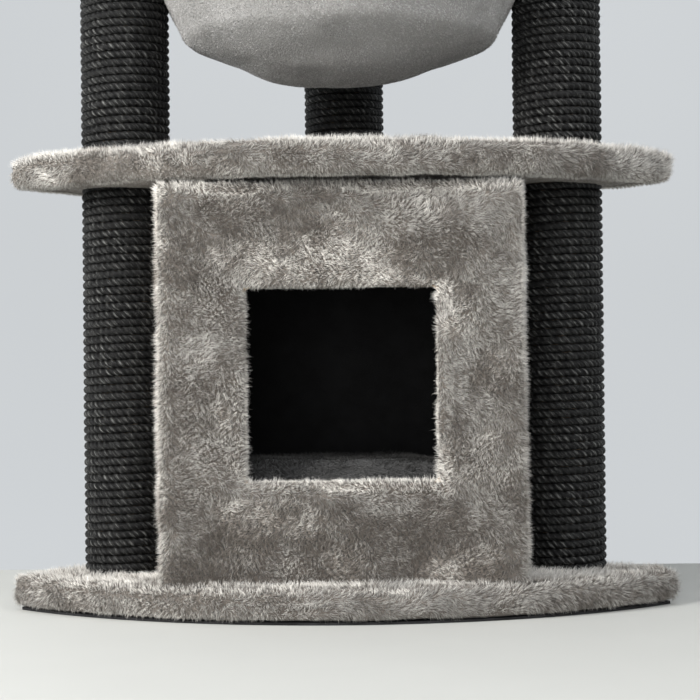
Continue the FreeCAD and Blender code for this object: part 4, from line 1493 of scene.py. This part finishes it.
# ------------------------------------------------------------------ hammock
@dataclass
class Hammock:
    """The hanging bag: one cloth, sewn over its ring and sagging below it."""
    finishes: Finishes
    posts: list[tuple[float, float]]
    post_radius: float
    seed: int = 71
    depth: float = 202 * MM
    sleeve: float = 7.3 * MM          # from the ring's centre line to the outside of the sleeve
    turns: int = 240                  # points round the bag
    per_span: int = 4
    fold_height: float = 3.0 * MM
    fold_size: float = 0.05
    lump: float = 3.0 * MM
    lump_size: float = 0.07
    post_gap: float = 1.2 * MM
    hook_gap: float = 25 * MM         # half the gap in the sleeve at each hook
    hook_gap_low: float = 46 * MM
    outer_pile: Pile = Pile(per_area=230000, length=4.6 * MM, hair_radius=0.55 * MM, lean=60, lean_swing=14,
                            swirl=110, swirl_size=0.08, curl=25, tuft_pull=0.3)
    inner_pile: Pile = Pile(per_area=90000, length=4.6 * MM, hair_radius=0.6 * MM, lean=62, swirl=110)

    def __post_init__(self) -> None:
        """Read the ring's place from the frame."""
        self.noise = SmoothNoise(self.seed)
        low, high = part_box("hammock_ring")
        self.centre = (low + high) / 2
        self.rod = (high.z - low.z) / 2
        self.ring_radius = (high.x - low.x) / 2 - self.rod

    def profile(self) -> Array:
        """The bag's outline from the seam inside the sleeve, over the ring, to its lowest point.

        Returns:
            Rows of distance from the axis and height above the ring.
        """
        ring = self.ring_radius
        round_ring = [(ring + self.sleeve * math.cos(a), self.sleeve * math.sin(a))
                      for a in np.linspace(1.25 * math.pi, 0, 8)]
        shares = [(1.075, 0.92), (1.105, 0.82), (1.105, 0.70), (1.070, 0.590), (1.010, 0.47), (0.955, 0.36),
                  (0.915, 0.285), (0.80, 0.225), (0.62, 0.155), (0.46, 0.080), (0.30, 0.050), (0.12, 0.042)]
        hanging = [(ring * wide, -self.depth * (1 - share)) for wide, share in shares]
        return smooth_line(np.array(round_ring + hanging), self.per_span)

    def skin(self) -> Skin:
        """The bag's cloth, folded, and pushed in where it passes the posts."""
        around = np.linspace(0, 2 * math.pi, self.turns, endpoint=False)
        rings = []
        for radius, height in self.profile():
            rings.append(np.column_stack([radius * np.cos(around), radius * np.sin(around),
                                          np.full(self.turns, height)]))
        centre = np.array([0, 0, -self.depth])
        skin = Skin.from_rings(rings, centre)
        share = np.clip(-skin.points[:, 2] / (0.25 * self.depth), 0, 1)
        tall = skin.points * (1, 1, 0.35)
        heights = share * (self.fold_height * self.noise.at(tall, self.fold_size)
                           + self.lump * self.noise.at(skin.points + 2, self.lump_size))
        if (skin.face_vectors()[:, 2] * (skin.centres()[:, 2] < -0.9 * self.depth)).sum() > 0:
            skin = Skin(skin.points, skin.quads[:, ::-1])
        skin = skin.pushed(heights)
        points = skin.points + np.array(self.centre)
        for x, y in self.posts:
            away = points[:, :2] - (x, y)
            distance = np.maximum(np.hypot(*away.T), 1e-9)
            least = self.post_radius + self.post_gap
            grow = np.where(distance < least, least / distance, 1.0)
            points[:, :2] = np.array([x, y]) + away * grow[:, None]
        return self.with_hook_gaps(Skin(points, skin.quads))

    def with_hook_gaps(self, skin: Skin) -> Skin:
        """The skin with its sleeve open at each hook."""
        middles = skin.centres() - np.array(self.centre)
        gone = np.zeros(len(middles), bool)
        for x, y in self.posts:
            way = np.array([x - self.centre.x, y - self.centre.y])
            way /= np.hypot(*way)
            ahead = middles[:, :2] @ way
            aside = np.abs(middles[:, :2] @ np.array([-way[1], way[0]]))
            gone |= (ahead > 0) & (aside < self.hook_gap) & (middles[:, 2] > -self.hook_gap_low)
        return skin.without(gone)

    def build(self) -> list[bpy.types.Object]:
        """Make the bag and its pile.

        Returns:
            The pieces.
        """
        skin = self.skin()
        hair = material_of(self.finishes.hammock_hair)
        bag = mesh_object("hammock_cloth", skin.points, skin.quads, material_of(self.finishes.hammock_ground))
        hand_in(bag, Body.HAMMOCK, Slot.HAMMOCK_PLUSH, "hammock_bag")
        pile = self.outer_pile.grow("hammock_pile", skin, (0.3, 0.2, -1), self.noise, hair,
                                    self.clear_of_posts)
        inner = Skin(skin.points, skin.quads[:, ::-1])
        pile += self.inner_pile.grow("hammock_inner_pile", inner, (0.3, 0.2, -1), self.noise, hair)
        for piece in pile:
            hand_in(piece, Body.HAMMOCK, Slot.HAMMOCK_PLUSH)
        return [bag, *pile]

    def clear_of_posts(self, roots: Array) -> Array:
        """Which roots are not pressed against a post."""
        free = np.ones(len(roots), bool)
        for x, y in self.posts:
            free &= np.hypot(roots[:, 0] - x, roots[:, 1] - y) > self.post_radius + 4.5 * MM
        return free


# ------------------------------------------------------------------ cushion
@dataclass
class Cushion:
    """The loose stuffed cushion on the floor of the house."""
    finishes: Finishes
    seed: int = 91
    inset: float = 9 * MM             # the shape starts this much smaller, and swells back
    voxel: float = 6 * MM
    swell: float = 9 * MM             # how far a point may move
    pressure: float = 4.0
    frames: int = 20
    pile: Pile = Pile(per_area=110000, length=7 * MM, hair_radius=0.6 * MM, lean=55, swirl=130)

    def build(self) -> list[bpy.types.Object]:
        """Make the cushion and its pile.

        Returns:
            The pieces.
        """
        low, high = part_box("house_cushion")
        body = self.start_shape(low, high)
        self.inflate(body)
        self.settle(body, low, high)
        hand_in(body, Body.CUSHION, Slot.CUSHION_PLUSH, "house_cushion")
        pile = self.grow_pile(body)
        for piece in pile:
            hand_in(piece, Body.CUSHION, Slot.CUSHION_PLUSH)
        return [body, *pile]

    def start_shape(self, low: Vector, high: Vector) -> bpy.types.Object:
        """A crowned pillow a little smaller than its space.

        Args:
            low: the space's lowest corner.
            high: its highest corner.

        Returns:
            The object, remeshed evenly.
        """
        middle = np.array((low + high) / 2)
        half = np.array(high - low) / 2 - self.inset
        size = 28
        share = np.linspace(-1, 1, size)
        u, v = (g.ravel() for g in np.meshgrid(share, share))
        crown = (np.clip(1 - np.abs(u) ** 3.2, 0, 1) * np.clip(1 - np.abs(v) ** 3.2, 0, 1)) ** 0.42
        pull = 1 - 0.05 * (1 - np.abs(u * v))
        index = np.arange(size * size).reshape(size, size)
        faces = np.stack([index[:-1, :-1], index[:-1, 1:], index[1:, 1:], index[1:, :-1]], axis=2)
        faces = faces.reshape(-1, 4)
        sides = []
        for way in (1, -1):
            sides.append(np.column_stack([half[0] * u * pull, half[1] * v * pull,
                                          way * half[2] * (0.02 + crown)]))
        points = np.vstack(sides) + middle
        body = mesh_object("cushion_body", points, np.vstack([faces, faces[:, ::-1] + size * size]),
                           material_of(self.finishes.cushion_ground))
        rim = np.concatenate([index[0, :-1], index[:-1, -1], index[-1, :0:-1], index[:0:-1, 0]])
        wall = np.column_stack([rim, rim + size * size, np.roll(rim, -1) + size * size, np.roll(rim, -1)])
        body.data.clear_geometry()
        every_face = np.vstack([faces, faces[:, ::-1] + size * size, wall])
        body.data.from_pydata(points.tolist(), [], every_face.tolist())
        self.apply(body, "REMESH", mode="VOXEL", voxel_size=self.voxel, use_smooth_shade=True)
        return body

    @staticmethod
    def apply(body: bpy.types.Object, kind: str, **settings: object) -> None:
        """Add one modifier and apply it.

        Args:
            body: the object.
            kind: the modifier's type.
            settings: its settings.
        """
        modifier = body.modifiers.new(kind.title(), kind)
        for name, value in settings.items():
            setattr(modifier, name, value)
        bpy.context.view_layer.objects.active = body
        bpy.ops.object.modifier_apply(modifier=modifier.name)

    def inflate(self, body: bpy.types.Object) -> None:
        """Blow the cushion up as stuffed cloth, and limit how far each point moves."""
        start = np.zeros(len(body.data.vertices) * 3, np.float32)
        body.data.vertices.foreach_get("co", start)
        cloth = body.modifiers.new("Cloth", "CLOTH")
        cloth.settings.use_pressure = True
        cloth.settings.uniform_pressure_force = self.pressure
        cloth.settings.effector_weights.gravity = 0
        for number in range(1, self.frames + 1):
            bpy.context.scene.frame_set(number)
        bpy.context.view_layer.objects.active = body
        bpy.ops.object.modifier_apply(modifier=cloth.name)
        bpy.context.scene.frame_set(1)
        moved = np.zeros_like(start)
        body.data.vertices.foreach_get("co", moved)
        way = (moved - start).reshape(-1, 3)
        far = np.maximum(np.linalg.norm(way, axis=1, keepdims=True), 1e-9)
        way *= np.minimum(1, self.swell / far)
        body.data.vertices.foreach_set("co", (start.reshape(-1, 3) + way).astype(np.float32).ravel())
        self.apply(body, "SUBSURF", levels=1)

    def settle(self, body: bpy.types.Object, low: Vector, high: Vector) -> None:
        """Press the cushion flat where it meets the floor and walls, and wrinkle its top a little.

        Args:
            body: the cushion.
            low: its space's lowest corner.
            high: its space's highest corner.
        """
        count = len(body.data.vertices)
        points = np.zeros(count * 3, np.float32)
        body.data.vertices.foreach_get("co", points)
        points = points.reshape(-1, 3).astype(float)
        noise = SmoothNoise(self.seed)
        points[:, 2] += 5 * MM * noise.at(points, 0.06) + 2 * MM * noise.at(points + 1, 0.022)
        margin = 3 * MM
        points = np.clip(points, np.array(low) + (margin, margin, 0.2 * MM),
                         np.array(high) - (margin, margin, 2 * MM))
        body.data.vertices.foreach_set("co", points.astype(np.float32).ravel())
        body.data.update()
        body.data.polygons.foreach_set("use_smooth", np.ones(len(body.data.polygons), bool))
        if not body.data.materials:
            body.data.materials.append(material_of(self.finishes.cushion_ground))

    def grow_pile(self, body: bpy.types.Object) -> list[bpy.types.Object]:
        """Grow the cushion's pile on its quads."""
        mesh = body.data
        points = np.zeros(len(mesh.vertices) * 3, np.float32)
        mesh.vertices.foreach_get("co", points)
        quads = np.array([list(p.vertices) for p in mesh.polygons if len(p.vertices) == 4])
        low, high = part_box("house_cushion")
        skin = Skin(points.reshape(-1, 3).astype(float), quads)

        def above_floor(roots: Array) -> Array:
            """Which roots are not squeezed by the floor or the walls."""
            room = 6 * MM
            return (roots[:, 2] > low.z + 20 * MM) & (np.abs(roots[:, 0]) < high.x - room) \
                & (roots[:, 1] > low.y + room) & (roots[:, 1] < high.y - room)

        return self.pile.grow("cushion_pile", skin, (0.3, -1, 0), SmoothNoise(self.seed + 1),
                              material_of(self.finishes.cushion_hair), above_floor)


# ------------------------------------------------------------------ plain fittings
@dataclass
class Fittings:
    """Boards, tubes, plugs, felt, lining, ring, hooks and fasteners: shapes from the frame, finished here."""
    finishes: Finishes

    def dress(self) -> None:
        """Give every CAD piece that still shows its finish."""
        chosen = {Slot.TUBE: self.finishes.tube, Slot.PLUG: self.finishes.plug,
                  Slot.BOARD: self.finishes.board,
                  Slot.FELT: self.finishes.felt, Slot.LINING: self.finishes.lining,
                  Slot.HOOK: self.finishes.hook,
                  Slot.ZINC: self.finishes.zinc, Slot.PLUSH: self.finishes.plush_ground,
                  Slot.CUSHION_PLUSH: self.finishes.cushion_ground,
                  Slot.HAMMOCK_PLUSH: self.finishes.hammock_ground,
                  Slot.ROPE: self.finishes.tube}
        for part in frame["record"]["subparts"]:
            piece = frame["nodes"][part["node"]]
            material = material_of(chosen[Slot(part["material_slot"])])
            piece.data.materials.clear()
            piece.data.materials.append(material)
        log.info("dressed %d CAD pieces", len(frame["nodes"]))


_materials: dict[str, bpy.types.Material] = {}


def material_of(finish: Finish) -> bpy.types.Material:
    """A finish's material, made once."""
    if finish.name not in _materials:
        _materials[finish.name] = finish.material()
    return _materials[finish.name]


# ------------------------------------------------------------------ studio
@dataclass
class Lamp:
    """A soft square lamp."""
    name: str
    place: tuple[float, float, float]
    size: float
    watts: float
    colour: tuple[float, float, float] = (1.0, 1.0, 1.0)

    def build(self, target: Vector) -> None:
        """Hang the lamp and aim it."""
        light = bpy.data.lights.new(self.name, "AREA")
        light.size, light.energy, light.color = self.size, self.watts, self.colour
        lamp = bpy.data.objects.new(self.name, light)
        lamp.location = self.place
        lamp.rotation_euler = (target - Vector(self.place)).to_track_quat("-Z", "Y").to_euler()
        bpy.context.scene.collection.objects.link(lamp)


@dataclass
class Studio:
    """Floor, wall, lamps and camera."""
    floor_colour: tuple[float, float, float] = (0.55, 0.55, 0.525)
    wall_colour: tuple[float, float, float] = (0.60, 0.625, 0.645)
    wall_gap: float = 0.03
    wall_half: float = 2.6
    wall_height: float = 2.6
    floor_half: float = 5.0
    world_strength: float = 0.55
    camera_place: tuple[float, float, float] = (0.040, -2.5075, 0.320)
    yaw: float = 0.73                 # degrees to the left
    pitch: float = 0.48               # degrees up
    roll: float = -0.62
    lens: float = 92.5
    lamps: tuple[Lamp, ...] = (
        Lamp("key_lamp", (-2.7, -2.4, 1.8), 1.4, 190.0, (1.0, 0.99, 0.97)),
        Lamp("fill_lamp", (2.2, -2.4, 2.3), 1.8, 50.0, (0.98, 0.99, 1.0)),
        Lamp("low_lamp", (-0.6, -3.6, 0.7), 1.4, 30.0),
        Lamp("back_lamp", (0.3, 3.0, 2.6), 2.4, 60.0),
    )

    def build(self) -> None:
        """Set the whole studio up."""
        scene = bpy.context.scene
        scene.view_settings.view_transform = "Standard"
        self.build_world(scene)
        target = Vector((0, 0, 0.5))
        for lamp in self.lamps:
            lamp.build(target)
        self.build_floor()
        self.build_wall()
        self.build_camera(scene)

    def build_world(self, scene: bpy.types.Scene) -> None:
        """A plain pale world that lights evenly."""
        world = bpy.data.worlds.new("studio")
        scene.world = world
        world.use_nodes = True
        background = world.node_tree.nodes["Background"]
        background.inputs["Color"].default_value = (0.80, 0.84, 0.88, 1)
        background.inputs["Strength"].default_value = self.world_strength

    def build_floor(self) -> None:
        """The pale floor that the tree stands on."""
        half, size = self.floor_half, CAD_BOX[0].z
        points = np.array([(-half, -half, size), (half, -half, size),
                           (half, half, size), (-half, half, size)])
        finish = BackingFinish("studio_floor", self.floor_colour, 0.8,
                               shade=tuple(0.97 * c for c in self.floor_colour),
                               patch_scale=1.5)
        material, tree, shader = finish.start(Specular_IOR_Level=0.2)
        patches = effects.place(tree, "mottle", {"Scale": 1.5, "Fine": 4.0})
        tree.links.new(mixed(tree, patches.outputs[0], rgba(finish.shade), rgba(finish.colour)),
                       shader.inputs["Base Color"])
        mesh_object("studio_floor", points, np.array([[0, 1, 2, 3]]), material)

    def build_wall(self) -> None:
        """The pale wall close behind the tree, which only shows from the front."""
        half, y = self.wall_half, CAD_BOX[1].y + self.wall_gap
        points = np.array([(-half, y, 0), (half, y, 0),
                           (half, y, self.wall_height), (-half, y, self.wall_height)])
        material, tree, shader = Finish("studio_wall", self.wall_colour, 0.9).start(Specular_IOR_Level=0.1)
        patches = effects.place(tree, "mottle", {"Scale": 0.5, "Fine": 2.0})
        shown = add(tree, "Emission", {"Color": mixed(tree, patches.outputs[0], rgba(self.wall_colour),
                                                      rgba(tuple(1.08 * c for c in self.wall_colour)))})
        rays = add(tree, "LightPath").outputs
        seen = calc(tree, "MAXIMUM", rays["Is Camera Ray"], rays["Is Glossy Ray"])
        front = add(tree, "MixShader", {0: seen, 1: shader.outputs[0], 2: shown.outputs[0]})
        clear = add(tree, "BsdfTransparent")
        facing = add(tree, "NewGeometry").outputs["Backfacing"]
        joined = add(tree, "MixShader", {0: facing, 1: front.outputs[0], 2: clear.outputs[0]})
        tree.links.new(joined.outputs[0], tree.nodes["Material Output"].inputs["Surface"])
        mesh_object("studio_wall", points, np.array([[0, 1, 2, 3]]), material)

    def build_camera(self, scene: bpy.types.Scene) -> None:
        """The camera, low in front of the house."""
        lens = bpy.data.cameras.new("camera")
        lens.lens, lens.sensor_width = self.lens, 36.0
        camera = bpy.data.objects.new("camera", lens)
        turn = Matrix.Rotation(math.radians(self.yaw), 4, "Z")
        turn = turn @ Matrix.Rotation(math.radians(90 + self.pitch), 4, "X")
        camera.matrix_world = Matrix.Translation(self.camera_place) @ turn \
            @ Matrix.Rotation(math.radians(self.roll), 4, "Z")
        scene.collection.objects.link(camera)
        scene.camera = camera


# ------------------------------------------------------------------ the whole tree
def post_places(storey: Storey) -> tuple[list[tuple[float, float]], float]:
    """Where the posts stand.

    Args:
        storey: which row of posts.

    Returns:
        Each post's axis from above, and the posts' radius over the rope.
    """
    places, radius = [], 0.0
    for place in Place:
        low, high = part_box(f"{storey.value}_{place.value}_post_rope")
        places.append(((low.x + high.x) / 2, (low.y + high.y) / 2))
        radius = (high.x - low.x) / 2
    return places, radius


def main() -> None:
    """Build the studio and every piece of the tree."""
    logging.basicConfig(level=logging.INFO, format="%(name)s %(message)s")
    finishes = Finishes()
    Studio().build()
    Fittings(finishes).dress()
    posts, radius = post_places(Storey.UPPER)
    for number, level in enumerate(Level):
        Plate(level, finishes, posts, radius, seed=11 + number).build()
    House(finishes).build()
    for number, (storey, place) in enumerate(product(Storey, Place)):
        WoundPost(storey, place, finishes, seed=51 + number).build()
    Hammock(finishes, posts, radius).build()
    Cushion(finishes).build()


if __name__ == "__main__":
    main()
